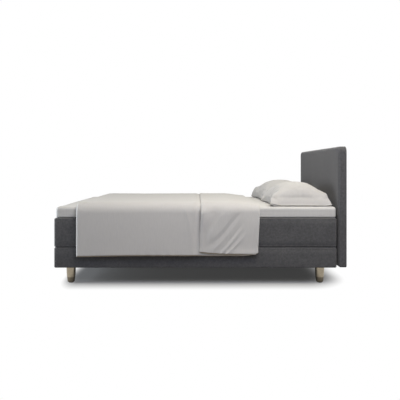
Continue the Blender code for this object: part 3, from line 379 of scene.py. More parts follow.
def speckled(name, dark, light, scale, depth, roughness=0.9):
    """Foam, felt, chipboard or spring cloth: cells or chips of one size in two tones."""
    shader = Shader(name, roughness=roughness)
    cells = shader.add("TexVoronoi", {"Vector": shader.place(), "Scale": scale}, output="Distance")
    blot = shader.noise(scale * 0.2, 3.0)
    share = shader.math("MULTIPLY", shader.ramp(cells, 0.1, 0.8), shader.ramp(blot, 0.2, 0.8))
    return shader.done(shader.mix(share, light, dark), shader.bump(cells, depth, 0.7))


MAKERS = {
    "charcoal_weave": charcoal_weave,
    "ivory_cotton": lambda name: cotton(name, colours().ivory),
    # painted shade: the pillows' cotton is the duvet's ivory made darker, a shaded copy of one material
    "pillow_cotton": lambda name: cotton(name, shaded(colours().ivory, 0.87)),
    "duvet_cotton": lambda name: cotton(name, colours().ivory, painted_underside_shade=True),
    "white_sheet": lambda name: cotton(name, colours().sheet),
    "pine": pine,
    "chipboard": lambda name: speckled(name, (0.30, 0.20, 0.11), (0.52, 0.40, 0.25), 240.0, 0.0006),
    "foam": lambda name: speckled(name, (0.56, 0.54, 0.44), (0.74, 0.72, 0.60), 700.0, 0.0006, 0.95),
    "spring_pocket": lambda name: speckled(name, (0.55, 0.56, 0.58), (0.70, 0.71, 0.72), 500.0, 0.0003),
    "felt": lambda name: speckled(name, (0.12, 0.12, 0.13), (0.28, 0.28, 0.29), 400.0, 0.0008, 0.95),
    "black_fleece": fleece,
    "satin_metal": turned_metal,
    "zinc": lambda name: plain_metal(name, (0.55, 0.56, 0.57), 0.38),
    "black_plastic": black_plastic,
}
MADE = {}


def finish(name):
    """The material of this slot, made the first time it is asked for."""
    if name not in MADE:
        MADE[name] = MAKERS[name](name)
    return MADE[name]


# Modelling by hand


def deselect():
    if bpy.context.object is not None and bpy.context.object.mode != "OBJECT":
        bpy.ops.object.mode_set(mode="OBJECT")
    bpy.ops.object.select_all(action="DESELECT")


def activate(piece):
    """Makes this piece the active one, and the only one that is selected."""
    deselect()
    piece.select_set(True)
    bpy.context.view_layer.objects.active = piece


def start_block(name, low, high):
    """A cube that fills this space, as the start of a piece, in edit mode."""
    deselect()
    bpy.ops.mesh.primitive_cube_add(size=1, location=(low + high) / 2, scale=high - low)
    piece = placed(name)
    edit(piece)
    return piece


def start_round(name, low, high, vertices):
    """An upright cylinder that fills this space, as the start of a piece, in edit mode."""
    deselect()
    bpy.ops.mesh.primitive_cylinder_add(
        vertices=vertices,
        radius=(high.x - low.x) / 2,
        depth=high.z - low.z,
        location=(low + high) / 2,
    )
    piece = placed(name)
    edit(piece)
    return piece


def placed(name):
    """Names the active object and moves its place into its mesh."""
    piece = bpy.context.object
    piece.name = name
    piece.data.name = name
    bpy.ops.object.transform_apply(location=True, rotation=True, scale=True)
    return piece


def edit(piece):
    """Enters edit mode on this piece with nothing selected."""
    activate(piece)
    bpy.ops.object.mode_set(mode="EDIT")
    bpy.ops.mesh.select_mode(type="EDGE")
    bpy.ops.mesh.select_all(action="DESELECT")


def pick(piece, kind, test):
    """Selects the verts, edges or faces whose points all pass this test."""
    bm = bmesh.from_edit_mesh(piece.data)
    for item in getattr(bm, kind):
        points = [item.co] if kind == "verts" else [v.co for v in item.verts]
        item.select_set(all(test(point) for point in points))
    if kind == "verts":
        bm.select_flush_mode()
    bmesh.update_edit_mesh(piece.data)
    if not any(item.select for item in getattr(bm, kind)):
        raise RuntimeError(f"{piece.name}: nothing to select among its {kind}")


def pick_plane(piece, kind, axis, place):
    """Selects the verts, edges or faces that lie in a plane across this axis."""
    pick(piece, kind, lambda point: abs(point[axis] - place) < TOUCH)


def pick_edges_along(piece, axis, test=lambda point: True):
    """Selects the edges that run along one axis and pass this test."""
    bm = bmesh.from_edit_mesh(piece.data)
    for edge in bm.edges:
        run = edge.verts[1].co - edge.verts[0].co
        along = abs(run[axis]) > 0.999 * run.length
        edge.select_set(along and all(test(v.co) for v in edge.verts))
    bmesh.update_edit_mesh(piece.data)


def round_edges(radius, segments):
    bpy.ops.mesh.bevel(offset=radius, segments=segments, profile=0.5, affect="EDGES")


def round_block(piece, low, high, radii, segments):
    """Rounds a block's upright edges, its top edges and its bottom edges, in that order."""
    pick_edges_along(piece, 2)
    round_edges(radii[0], segments[0])
    pick_plane(piece, "edges", 2, high.z)
    round_edges(radii[1], segments[1])
    pick_plane(piece, "edges", 2, low.z)
    round_edges(radii[2], segments[2])


def slice_across(axis, places):
    """Cuts new edges through the whole piece at these places along an axis."""
    normal = [0.0, 0.0, 0.0]
    normal[axis] = 1.0
    for place in places:
        point = [place * value for value in normal]
        bpy.ops.mesh.select_all(action="SELECT")
        bpy.ops.mesh.bisect(plane_co=point, plane_no=normal)


def even_places(low, high, cell):
    """Places between these two ends that are about a cell apart, without the ends."""
    count = max(1, round((high - low) / cell))
    return [low + (high - low) * step / count for step in range(1, count)]


def slice_evenly(low, high, cell, axes):
    """Cuts the whole piece into cells of about this size along these axes."""
    for axis in axes:
        slice_across(axis, even_places(low[axis], high[axis], cell))


def sink_recess(piece, facing, place, margin, inward):
    """Insets the flat side that faces this axis and pushes its middle in."""
    bpy.ops.mesh.select_mode(type="FACE")
    pick_plane(piece, "faces", facing, place)
    bpy.ops.mesh.inset(thickness=margin, depth=0)
    move = [0.0, 0.0, 0.0]
    move[facing] = inward
    bpy.ops.mesh.extrude_region_move(TRANSFORM_OT_translate={"value": move})


def groove(piece, axis, place):
    """A sewn seam round the piece: one line of edges drawn in between two that stay."""
    half = sizes().seam_width / 2
    bpy.ops.mesh.select_mode(type="VERT")
    slice_across(axis, (place - half, place, place + half))
    pick_plane(piece, "verts", axis, place)
    bpy.ops.transform.shrink_fatten(value=-sizes().seam_depth)


def leave_edit():
    bpy.ops.mesh.select_all(action="DESELECT")
    bpy.ops.object.mode_set(mode="OBJECT")


def apply_last_modifier(piece):
    if "FINISHED" not in bpy.ops.object.modifier_apply(modifier=piece.modifiers[-1].name):
        raise RuntimeError(f"{piece.name}: a modifier can't be applied")


def apply_modifier(piece, kind, **settings):
    """Adds a modifier with these settings and applies it."""
    activate(piece)
    bpy.ops.object.modifier_add(type=kind)
    for key, value in settings.items():
        setattr(piece.modifiers[-1], key, value)
    apply_last_modifier(piece)


def smooth(piece, degrees=40.0):
    activate(piece)
    bpy.ops.object.shade_smooth_by_angle(angle=math.radians(degrees))


def hand_over(piece, body, slot, *nodes, look=None):
    """Gives a finished piece its material, its body and the nodes that it stands for."""
    piece.data.materials.clear()
    piece.data.materials.append(finish(look or slot))
    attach(piece, body)
    if nodes:
        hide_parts(*nodes)


PADDING_RIM = 0.05  # width of the rim in which the padding's unevenness fades
PADDING_SHARE = 0.6  # how far it sinks on average, as a share of its depth


def swell_at(point, scales, shift=(0.0, 0.0, 0.0)):
    """Smooth noise at this point, with waves of their own length along each axis."""
    return noise.noise(Vector([point[axis] * scales[axis] + shift[axis] for axis in range(3)]))


def soften(piece, low, high, seed):
    """Uneven padding: the faces between the edges swell and sink a little, but not the underside."""
    half = (high - low) / 2
    middle = (low + high) / 2
    for vertex in piece.data.vertices:
        point = vertex.co
        share = [abs(point[axis] - middle[axis]) / half[axis] for axis in range(3)]
        facing = max(range(3), key=lambda axis: share[axis])
        outward = math.copysign(1.0, point[facing] - middle[facing])
        if share[facing] < 0.98 or (facing == 2 and outward < 0):
            continue
        calm = 1.0
        for axis in range(3):
            if axis != facing:
                calm *= min(1.0, max(0.0, 1.0 - share[axis]) * half[axis] * 2 / PADDING_RIM)
        swell = swell_at(point, (4, 4, 9), (seed, 0, 0))
        swell += 0.5 * swell_at(point, (13, 13, 21), (0, seed, 0))
        sink = PADDING_SHARE - 0.5 * swell
        point[facing] -= outward * sizes().upholstery_wave * calm * sink


# Upholstery


CLOTH_TRIM = 0.006  # how far inside its solid's outline a stretched cloth ends
CLOTH_GAP = 0.0002  # between such a cloth and the bottom of its recess
STAPLE_WIRE = 0.0012
STAPLE_WIDTH = 0.012
STAPLE_PITCH = 0.090
STAPLE_INSET = 0.008  # how far in from the cloth's edge the staples run
STAPLE_END = 0.03  # how far the headboard's staples keep from its top and its bottom


def cloth_box(node, facing):
    """The box of a stretched cloth, which stays clear of the rounded edges round it."""
    low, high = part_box(node)
    trim = Vector([0.0 if axis == facing else CLOTH_TRIM for axis in range(3)])
    return low + trim, high - trim


def finish_cover(piece, low, high, seed, body, node):
    """Pads a cover and hands it over."""
    leave_edit()
    soften(piece, low, high, seed)
    smooth(piece)
    hand_over(piece, body, "charcoal_weave", node)


def make_covered_block(name, body, node, cloth, radii, seed, bottom_seam=False):
    """An upholstered box: rounded edges, seams round it and a recess below for its bottom cloth."""
    low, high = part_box(node)
    cloth_low, cloth_high = cloth_box(cloth, 2)
    cell = sizes().upholstery_cell
    top, bottom = radii[1:]
    piece = start_block(name, low, high)
    round_block(piece, low, high, radii, (6, 5, 4))
    margin = cloth_low.x - low.x - bottom - SKIN
    sink_recess(piece, 2, low.z, margin, cloth_high.z - low.z + CLOTH_GAP)
    slice_evenly(low, high, cell, (0, 1))
    slice_across(2, even_places(low.z + bottom, high.z - top, cell))
    if bottom_seam:
        groove(piece, 2, low.z + bottom + sizes().seam_width)
    groove(piece, 2, high.z - top - sizes().seam_width)
    finish_cover(piece, low, high, seed, body, node)


class BED_OT_base_cover(bpy.types.Operator):
    """Build the upholstered cover of the base"""

    bl_idname = "bed.base_cover"
    bl_label = "Base Cover"

    def execute(self, context):
        s = sizes()
        radii = (s.base_corner, s.base_edge, s.underside_edge)
        make_covered_block("base_upholstery", "base", "base_cover", "base_dust_cover", radii, 1.7)
        return {"FINISHED"}


class BED_OT_mattress_cover(bpy.types.Operator):
    """Build the upholstered cover of the mattress"""

    bl_idname = "bed.mattress_cover"
    bl_label = "Mattress Cover"

    def execute(self, context):
        s = sizes()
        radii = (s.mattress_corner, s.mattress_edge, s.mattress_edge)
        make_covered_block(
            "mattress_upholstery",
            "mattress",
            "mattress_cover",
            "mattress_bottom_panel",
            radii,
            7.3,
            bottom_seam=True,
        )
        return {"FINISHED"}


class BED_OT_headboard_cover(bpy.types.Operator):
    """Build the upholstered cover of the headboard"""

    bl_idname = "bed.headboard_cover"
    bl_label = "Headboard Cover"

    def execute(self, context):
        s = sizes()
        low, high = HEADBOARD_LOW, HEADBOARD_HIGH
        cloth_low, cloth_high = cloth_box("headboard_back_cloth", 0)
        piece = start_block("headboard_upholstery", low, high)
        round_board(piece, low, high)
        pick_plane(piece, "edges", 0, low.x)
        round_edges(s.headboard_front, 7)
        pick_plane(piece, "edges", 0, high.x)
        round_edges(s.headboard_back, 4)
        margin = cloth_low.z - low.z - s.headboard_back - SKIN
        sink_recess(piece, 0, high.x, margin, cloth_low.x - cloth_high.x - CLOTH_GAP)
        slice_evenly(low, high, s.upholstery_cell, (1, 2))
        groove(piece, 0, high.x - s.headboard_back - s.seam_width)
        groove(piece, 0, low.x + s.headboard_front + s.seam_width)
        finish_cover(piece, low, high, 3.1, "base", "headboard_cover")
        return {"FINISHED"}


def round_board(piece, low, high, inset=0.0):
    """Rounds the corners that the headboard shows from the front."""
    s = sizes()
    middle = (low.z + high.z) / 2
    pick_edges_along(piece, 0, lambda point: point.z > middle)
    round_edges(s.headboard_corner - inset, 10)
    pick_edges_along(piece, 0, lambda point: point.z < low.z + TOUCH)
    round_edges(s.headboard_foot - inset, 5)


def make_stretched_cloth(name, node, body, facing):
    """A cloth pulled flat over a frame, inside the rounded edges round it."""
    low, high = cloth_box(node, facing)
    across = [axis for axis in range(3) if axis != facing]
    piece = start_block(name, low, high)
    if facing == 0:
        round_board(piece, low, high, inset=HEADBOARD_HIGH.z - high.z)
    slice_evenly(low, high, sizes().upholstery_cell, across)
    leave_edit()
    smooth(piece, 60.0)
    hand_over(piece, body, "black_fleece", node)


def staple_places(low, high, facing, plane):
    """Places round the edge of a flat cloth, with the axis that each staple runs along."""
    first, second = [axis for axis in range(3) if axis != facing]
    for along, other in ((first, second), (second, first)):
        for edge in (low[other] + STAPLE_INSET, high[other] - STAPLE_INSET):
            for place in even_places(low[along], high[along], STAPLE_PITCH):
                point = [0.0, 0.0, 0.0]
                point[along], point[other], point[facing] = place, edge, plane
                yield point, along


def make_staples(name, body, places):
    """Wire staples that hold a cloth, as one piece, at these places."""
    deselect()
    made = []
    for point, along in places:
        size = [STAPLE_WIRE] * 3
        size[along] = STAPLE_WIDTH
        bpy.ops.mesh.primitive_cube_add(size=1, location=point, scale=size)
        made.append(bpy.context.object)
    for staple in made:
        staple.select_set(True)
    bpy.context.view_layer.objects.active = made[0]
    bpy.ops.object.join()
    piece = placed(name)
    edit(piece)
    bpy.ops.mesh.select_all(action="SELECT")
    round_edges(STAPLE_WIRE * 0.25, 1)
    leave_edit()
    hand_over(piece, body, "zinc")


class BED_OT_cloths(bpy.types.Operator):
    """Build the cloths under the base, under the mattress and behind the headboard"""

    bl_idname = "bed.cloths"
    bl_label = "Stretched Cloths"

    def execute(self, context):
        make_stretched_cloth("dust_cloth", "base_dust_cover", "base", 2)
        low, high = cloth_box("base_dust_cover", 2)
        make_staples("dust_cloth_staples", "base", staple_places(low, high, 2, low.z))
        make_stretched_cloth("mattress_underside", "mattress_bottom_panel", "mattress", 2)
        make_stretched_cloth("headboard_back", "headboard_back_cloth", "base", 0)
        low, high = cloth_box("headboard_back_cloth", 0)
        low.z += STAPLE_END
        high.z -= STAPLE_END
        make_staples("headboard_back_staples", "base", staple_places(low, high, 0, high.x))
        return {"FINISHED"}


# Feet


FOOT_STEPS = 12
FOOT_TAPER = 0.0085
FOOT_TAPER_POWER = 2.4
FOOT_EDGE = 0.0055
FOOT_TOP_EDGE = 0.0008
GLIDE_EDGE_SHARE = 0.3  # radius of a glide's bottom edge, as a share of its height


class BED_OT_feet(bpy.types.Operator):
    """Build the turned feet and their floor glides"""

    bl_idname = "bed.feet"
    bl_label = "Feet"

    def execute(self, context):
        for corner in CORNERS:
            self.make_foot(corner)
            self.make_glide(corner)
        return {"FINISHED"}

    def make_foot(self, corner):
        low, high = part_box("foot_" + corner)
        middle = (low + high) / 2
        radius = (high.x - low.x) / 2
        height = high.z - low.z
        foot = start_round("turned_foot_" + corner, low, high, 64)
        slice_evenly(low, high, height / FOOT_STEPS, (2,))
        bpy.ops.mesh.select_mode(type="VERT")
        for step in range(FOOT_STEPS):
            share = step / FOOT_STEPS
            ring = (middle.x, middle.y, low.z + height * share)
            pick_plane(foot, "verts", 2, ring[2])
            narrow = 1 - FOOT_TAPER / radius * (1 - share) ** FOOT_TAPER_POWER
            bpy.ops.transform.resize(value=(narrow, narrow, 1.0), center_override=ring)
        bpy.ops.mesh.select_mode(type="EDGE")
        pick_plane(foot, "edges", 2, low.z)
        round_edges(FOOT_EDGE, 4)
        pick_plane(foot, "edges", 2, high.z)
        round_edges(FOOT_TOP_EDGE, 2)
        leave_edit()
        smooth(foot, 35.0)
        hand_over(foot, "base", "satin_metal", "foot_" + corner)

    def make_glide(self, corner):
        low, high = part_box("foot_glide_" + corner)
        glide = start_round("floor_glide_" + corner, low, high, 48)
        pick_plane(glide, "edges", 2, low.z)
        round_edges((high.z - low.z) * GLIDE_EDGE_SHARE, 3)
        leave_edit()
        smooth(glide, 35.0)
        hand_over(glide, "base", "black_plastic", "foot_glide_" + corner)


# Sheets and bedding


def mesh_piece(name, points, faces):
    """A new object at the origin with this mesh, its faces turned outwards."""
    mesh = bpy.data.meshes.new(name)
    mesh.from_pydata([tuple(point) for point in points], [], faces)
    mesh.validate()
    bm = bmesh.new()
    bm.from_mesh(mesh)
    bmesh.ops.remove_doubles(bm, verts=bm.verts, dist=1e-6)
    bmesh.ops.recalc_face_normals(bm, faces=bm.faces)
    bm.to_mesh(mesh)
    bm.free()
    mesh.shade_smooth()
    piece = bpy.data.objects.new(name, mesh)
    bpy.context.scene.collection.objects.link(piece)
    return piece


def grid_faces(rows, columns, start=0):
    """Quads of a grid of points that are numbered row by row."""
    faces = []
    for row in range(rows - 1):
        for column in range(columns - 1):
            first = start + row * columns + column
            faces.append((first, first + 1, first + columns + 1, first + columns))
    return faces


def ease(low, high, value):
    """0 before low, 1 after high, and a smooth step between them. Arrays work too."""
    share = np.clip((value - low) / (high - low), 0.0, 1.0)
    return share * share * (3 - 2 * share)


def between(low, high, soft, value):
    """1 between low and high and 0 outside, with a smooth step of this half width at both."""
    return ease(low - soft, low + soft, value) * (1 - ease(high - soft, high + soft, value))


def hill(away, width):
    """1 at no distance, falling smoothly to 0 over about two widths."""
    return np.exp(-((away / width) ** 2))


def steps(start, end, count):
    """Even places from start to end, without the start."""
    return list(np.linspace(start, end, count))[1:]


SHEET_THICKNESS = 0.0008
TOPPER_SHIFTS = (0.003, 0.005)  # how far the topper's ends at foot and head lie towards the head
TOPPER_BOTTOM_SHARE = 0.6  # radius of the topper's bottom edge, as a share of its top edge's
PULL_REACH = (0.02, 0.30)  # where the sheet's tension creases start and end, from a corner
PULL_DEPTH = 0.0008
PULL_TURNS = 22  # how close together they lie round the corner
SIDE_WAVE = 0.0010


class BED_OT_topper(bpy.types.Operator):
    """Build the topper and its fitted sheet"""

    bl_idname = "bed.topper"
    bl_label = "Topper and Fitted Sheet"

    def execute(self, context):
        s = sizes()
        radii = (s.topper_corner, s.topper_edge, s.topper_edge * TOPPER_BOTTOM_SHARE)
        self.make_sheet(radii)
        self.make_filling(radii)
        return {"FINISHED"}

    def shifted_box(self, node):
        low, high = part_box(node)
        low.x += TOPPER_SHIFTS[0]
        high.x += TOPPER_SHIFTS[1]
        return low, high

    def make_sheet(self, radii):
        s = sizes()
        low, high = self.shifted_box("fitted_sheet")
        top, bottom = radii[1:]
        sheet = start_block("fitted_sheet_cloth", low, high)
        round_block(sheet, low, high, radii, (8, 6, 4))
        bpy.ops.mesh.select_mode(type="FACE")
        pick_plane(sheet, "faces", 2, low.z)
        bpy.ops.mesh.inset(thickness=s.sheet_hem - bottom, depth=0)
        bpy.ops.mesh.delete(type="FACE")
        bpy.ops.mesh.select_mode(type="EDGE")
        slice_evenly(low, high, s.upholstery_cell / 2, (0, 1))
        slice_across(2, even_places(low.z + bottom, high.z - top, s.upholstery_cell / 4))
        leave_edit()
        self.pull(sheet, low, high)
        apply_modifier(sheet, "SOLIDIFY", thickness=SHEET_THICKNESS, offset=-1.0)
        smooth(sheet, 60.0)
        hand_over(sheet, "topper", "white_sheet", "fitted_sheet")

    def make_filling(self, radii):
        low, high = self.shifted_box("topper_core")
        inset = Vector((SHEET_THICKNESS, SHEET_THICKNESS, SHEET_THICKNESS))
        core = start_block("topper_filling", low + inset, high - inset)
        round_block(core, low + inset, high - inset, radii, (6, 4, 3))
        slice_evenly(low, high, sizes().upholstery_cell, (0, 1))
        leave_edit()
        smooth(core)
        hand_over(core, "topper", "foam", "topper_core")

    def pull(self, sheet, low, high):
        """Slight tension creases that run in from the corners, and a soft wave on the sides."""
        middle = (low + high) / 2
        half = (high - low) / 2
        start, end = PULL_REACH
        for vertex in sheet.data.vertices:
            point = vertex.co
            for corner_x in (low.x, high.x):
                for corner_y in (low.y, high.y):
                    run = Vector((point.x - corner_x, point.y - corner_y))
                    if point.z > high.z - 1e-4 and start < run.length < end:
                        angle = math.atan2(abs(run.y), abs(run.x))
                        fade = math.sin(math.pi * (run.length - start) / (end - start))
                        crease = 0.5 + 0.5 * math.cos(angle * PULL_TURNS)
                        point.z -= PULL_DEPTH * fade * crease
            if low.z + 0.01 < point.z < high.z - 0.02:
                push = SIDE_WAVE * (0.5 + swell_at(point, (3, 3, 8)))
                if abs(point.y - middle.y) > half.y - 1e-3:
                    point.y -= math.copysign(push, point.y - middle.y)
                elif abs(point.x - middle.x) > half.x - 1e-3:
                    point.x -= math.copysign(push, point.x - middle.x)


# Duvet


class DuvetShape:
    """Where each point of the duvet lies, from its place in the flat quilt."""

    INNER_RADIUS = 0.034  # of the bend over the mattress's edge, under the quilt
    CLEARANCE = 0.002
    LAYER_GAP = 0.0010  # between the quilt and its turned-back part
    # shares of the thickness on top: turned-back part, quilt below it, fold, sides, edges
    FLAP_SHARE = 0.52
    UNDER_SHARE = 0.50
    FOLD_SHARE = 0.24
    SIDE_SHARE = 0.80
    EDGE_SHARE = 0.35
    EDGE_WIDTH = 0.010
    STITCH_WIDTH = 0.0022
    SIDE_STAND = 0.008  # how far the hanging side stands off
    FOLD_RUN = 0.200  # length over which the quilt thins towards the fold
    LIP = 0.0014  # how much thicker the sides are at the foot edge and at the fold
    HEM_SAG = 0.006  # how much lower the hem hangs at the foot end
    LEANS = ((-0.15, 0.0, 0.012), (0.15, 0.40, 0.005))  # start, end and size along X
    FAR_SHIFT = 0.013  # how far the folds of the far side lie along X from those of the near one
    # folds in the turned-back side: (x, z) of the bottom, middle and top, then width and depth
    FLAP_FOLDS = (
        ((0.068, 0.290), (0.112, 0.415), (0.229, 0.533), 0.015, 0.6),
        ((0.090, 0.290), (0.158, 0.418), (0.265, 0.533), 0.036, 1.2),
        ((0.130, 0.330), (0.229, 0.452), (0.299, 0.522), 0.014, 0.6),
        ((0.068, 0.262), (0.201, 0.395), (0.264, 0.486), 0.016, -0.5),
        ((0.060, 0.200), (0.215, 0.360), (0.305, 0.480), 0.015, 0.52),
        ((0.145, 0.200), (0.243, 0.311), (0.285, 0.362), 0.009, 0.95),
        ((0.180, 0.195), (0.278, 0.290), (0.312, 0.328), 0.009, 0.90),
        ((0.122, 0.200), (0.229, 0.318), (0.282, 0.390), 0.010, -0.45),
        ((0.162, 0.200), (0.254, 0.290), (0.298, 0.342), 0.008, -0.45),
        ((0.098, 0.200), (0.118, 0.250), (0.134, 0.269), 0.007, 0.4),
        ((0.075, 0.470), (0.120, 0.500), (0.165, 0.517), 0.012, -0.5),
    )
    # the same for the hanging side of the lower layer
    LOWER_FOLDS = (
        ((-0.062, 0.340), (-0.087, 0.451), (-0.115, 0.530), 0.011, 0.6),
        ((-0.022, 0.430), (-0.034, 0.480), (-0.050, 0.520), 0.010, 0.3),
        ((-0.012, 0.425), (-0.012, 0.468), (-0.012, 0.510), 0.016, -1.0),
        ((-0.026, 0.190), (-0.022, 0.330), (-0.014, 0.445), 0.016, -1.2),
        ((-0.850, 0.480), (-0.815, 0.508), (-0.775, 0.530), 0.008, 0.4),
        ((-0.840, 0.455), (-0.795, 0.485), (-0.740, 0.515), 0.010, 0.3),
        ((-0.600, 0.300), (-0.560, 0.380), (-0.500, 0.460), 0.040, 0.2),
        ((-0.330, 0.280), (-0.300, 0.370), (-0.250, 0.440), 0.045, 0.2),
    )
    RIPPLE_RUN = (-0.465, -0.140)  # where along X the lower hem ripples
    RIPPLE_PITCH = 0.070
    RIPPLE_REACH = 0.030
    RIPPLE_DEPTH = 0.0016
    WAVES = (0.0012, 0.0004)  # of the filling on top, coarse and fine
    UNDER_BLEND = 0.045  # half the length over which the quilt thins below its turned-back part
    HEM_FLARE = 0.006  # how far the turned-back part's hem stands out
    FOLD_LIFT = 0.010  # how much higher the hem hangs at the fold
    FLAP_LIFT = 0.009  # how much higher it hangs at the turned-back part's edge
    FLAP_CORNER_LIFT = 0.006  # and how much more at that edge's corner
    FOLD_CORNER = (0.011, 0.009)  # length and rise of the rounded corner of fold and hem

    def __init__(self):
        s = sizes()
        self.s = s
        self.foot = DUVET_LOW.x
        self.fold = DUVET_HIGH.x + 0.001
        self.flap = self.fold - s.turndown
        self.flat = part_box("mattress_cover")[1].y + self.CLEARANCE - self.INNER_RADIUS
        self.arc = math.pi / 2 * self.INNER_RADIUS
        self.bend_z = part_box("fitted_sheet")[1].z + SKIN - self.INNER_RADIUS
        self.hem = DUVET_LOW.z + self.HEM_SAG
        self.drop = self.bend_z - self.hem
        self.reach = self.flat + self.arc + self.drop

    def down(self, across):
        """How far down the hanging side a point lies, 0 at the bend and 1 at the hem."""
        start = self.flat + self.arc / 2
        return np.clip((np.abs(across) - start) / (self.reach - start), 0, 1)

    def from_hem(self, across):
        return self.reach - np.abs(across)

    def stitches(self, distance):
        """Depth of the stitched line that runs a hem's width in from an edge."""
        return self.s.hem_depth * hill(distance - self.s.hem_band, self.STITCH_WIDTH)

    def thickness(self, kind, x, across):
        """Thickness of the quilt, less in the turned-back part, under it and at the edges."""
        down = self.down(across)
        if kind == "lower":
            under = ease(self.flap - self.UNDER_BLEND, self.flap + self.UNDER_BLEND, x)
            share = 1 - (1 - self.UNDER_SHARE) * under
            edge = x - self.foot
        else:
            share = np.full_like(x, self.FLAP_SHARE)
            edge = x - self.flap
        share = share + (self.FOLD_SHARE - share) * ease(self.fold - self.FOLD_RUN, self.fold, x)
        share = share * (1 - (1 - self.SIDE_SHARE) * ease(0.0, 0.35, down))
        width = self.EDGE_WIDTH if kind == "lower" else self.EDGE_WIDTH * 2.5
        rim = np.minimum(edge / width, self.from_hem(across) / self.EDGE_WIDTH)
        soft = self.EDGE_SHARE + (1 - self.EDGE_SHARE) * np.sqrt(np.clip(rim, 0, 1))
        lip = hill(x - self.foot, 0.006) + hill(x - self.fold, 0.007)
        thick = self.s.duvet_thickness * share * soft + self.LIP * lip * ease(0.0, 0.10, down)
        return thick - self.stitches(edge) - self.stitches(self.from_hem(across)) * 0.5

    def folds(self, lines, x, z):
        """Soft ridges along curves through three points each, fading at both ends."""
        total = np.zeros_like(x)
        for low, middle, high, width, depth in lines:
            run = np.zeros_like(x)
            for first, second, third in ((low, middle, high), (middle, low, high), (high, low, middle)):
                share = (z - second[1]) * (z - third[1]) / (first[1] - second[1]) / (first[1] - third[1])
                run += first[0] * share
            slope = (high[0] - low[0]) / (high[1] - low[1])
            away = (x - run) / math.sqrt(1 + slope * slope)
            fade = (high[1] - low[1]) * 0.30
            total += depth * hill(away, width) * between(low[1], high[1], fade, z)
        return total * self.s.fold_depth

    def relief(self, kind, x, across):
        """Folds that the cloth makes, as a distance outwards."""
        down = self.down(across)
        z = self.bend_z - down * self.drop
        side = ease(0.0, 0.06, down)
        mirrored = np.where(across < 0, x, x + self.FAR_SHIFT)
        if kind == "flap":
            edge = ease(self.flap + 0.11, self.flap, x)
            stand = ease(0.0, 0.10, down) * (1 - 0.96 * ease(0.10, 0.65, down))
            flare = self.HEM_FLARE * np.clip((down - 0.80) / 0.20, 0, 1) ** 2 * ease(0.12, 0.35, x)
            standoff = self.s.flap_standoff * edge * stand
            return (self.folds(self.FLAP_FOLDS, mirrored, z) + standoff) * side + flare
        hem = self.from_hem(across)
        run = between(*self.RIPPLE_RUN, 0.05, x)
        wave = np.sin(2 * math.pi * (mirrored + hem * 0.8) / self.RIPPLE_PITCH)
        ripple = self.RIPPLE_DEPTH * wave * hill(hem, self.RIPPLE_REACH) * run
        return self.folds(self.LOWER_FOLDS, mirrored, z) * side + ripple

    def unevenness(self, x, across):
        """Soft waves in the filling on top."""
        coarse = np.sin(x * 9.0 + 1.3 * np.sin(across * 5.0))
        coarse *= np.sin(across * 7.0 + 0.8 * np.sin(x * 6.0))
        fine = np.sin(x * 31.0 + 2.0 * np.sin(across * 17.0)) * np.sin(across * 27.0 + np.sin(x * 23.0))
        return self.WAVES[0] * coarse + self.WAVES[1] * fine

    def lower_top(self, x, across):
        """Height of the lower layer's outer face."""
        body = self.thickness("lower", x, across) + self.relief("lower", x, across)
        calm = ease(0.0, 0.08, x - self.foot) * ease(0.0, 0.08, self.from_hem(across))
        calm = calm * (1 - 0.7 * ease(self.flap, self.flap + 0.05, x))
        return body + self.unevenness(x, across) * calm

    def heights(self, kind, x, share, across):
        """Places along X and heights of the outer and the inner face at these points."""
        if kind == "lower":
            return (x, np.zeros_like(x)), (x, self.lower_top(x, across))
        if kind == "flap":
            low = self.lower_top(x, across) + self.LAYER_GAP + self.relief("flap", x, across)
            thick = self.thickness("flap", x, across)
            uneven = self.unevenness(x + 0.4, across + 0.2) * ease(0.0, 0.05, x - self.flap)
            return (x, low + thick + uneven * ease(0.0, 0.08, self.from_hem(across))), (x, low)
        fold = np.full_like(x, self.fold)
        under = self.lower_top(fold, across)
        low = under + self.LAYER_GAP + self.relief("flap", fold, across)
        high = low + self.thickness("flap", fold, across)
        middle, gap = (low + under) / 2, (low - under) / 2
        angle = math.pi * (share - 0.5)
        outer = (fold + high / 2 * math.cos(angle), high / 2 * (1 + math.sin(angle)))
        return outer, (fold + gap * math.cos(angle), middle + gap * math.sin(angle))

    def drape(self, across, height, x, kind):
        """Points at this height above the drape, which runs flat, bends and hangs."""
        side = np.sign(across)
        reach = np.abs(across)
        down = self.down(across)
        angle = np.clip((reach - self.flat) / self.INNER_RADIUS, 0, math.pi / 2)
        radius = self.INNER_RADIUS + height
        y = np.minimum(reach, self.flat) + radius * np.sin(angle)
        y = y + self.SIDE_STAND * ease(0.0, 0.35, down)
        z = self.bend_z + radius * np.cos(angle)
        fall = np.clip(reach - self.flat - self.arc, 0, None)
        sag = self.HEM_SAG * ease(self.foot + 0.42, self.foot, x)
        if kind == "lower":
            lift = self.FOLD_LIFT * ease(self.fold - 0.10, self.fold, x) * down**2
        else:
            lift = (self.FOLD_LIFT + self.FLAP_LIFT * ease(self.flap + 0.22, self.flap, x)) * down**2
            lift = lift + self.FLAP_CORNER_LIFT * ease(self.flap + 0.08, self.flap, x) * down**4
        run, rise = self.FOLD_CORNER
        corner = np.clip((x - self.fold + run) / run, 0, 1)
        lift = lift + rise * (1 - np.sqrt(1 - corner * corner)) * down**6
        z = z - fall * (self.drop + sag) / self.drop + lift
        lean = sum(size * ease(start, end, x) for start, end, size in self.LEANS)
        return np.stack([x - lean * down, side * y, z], axis=-1)


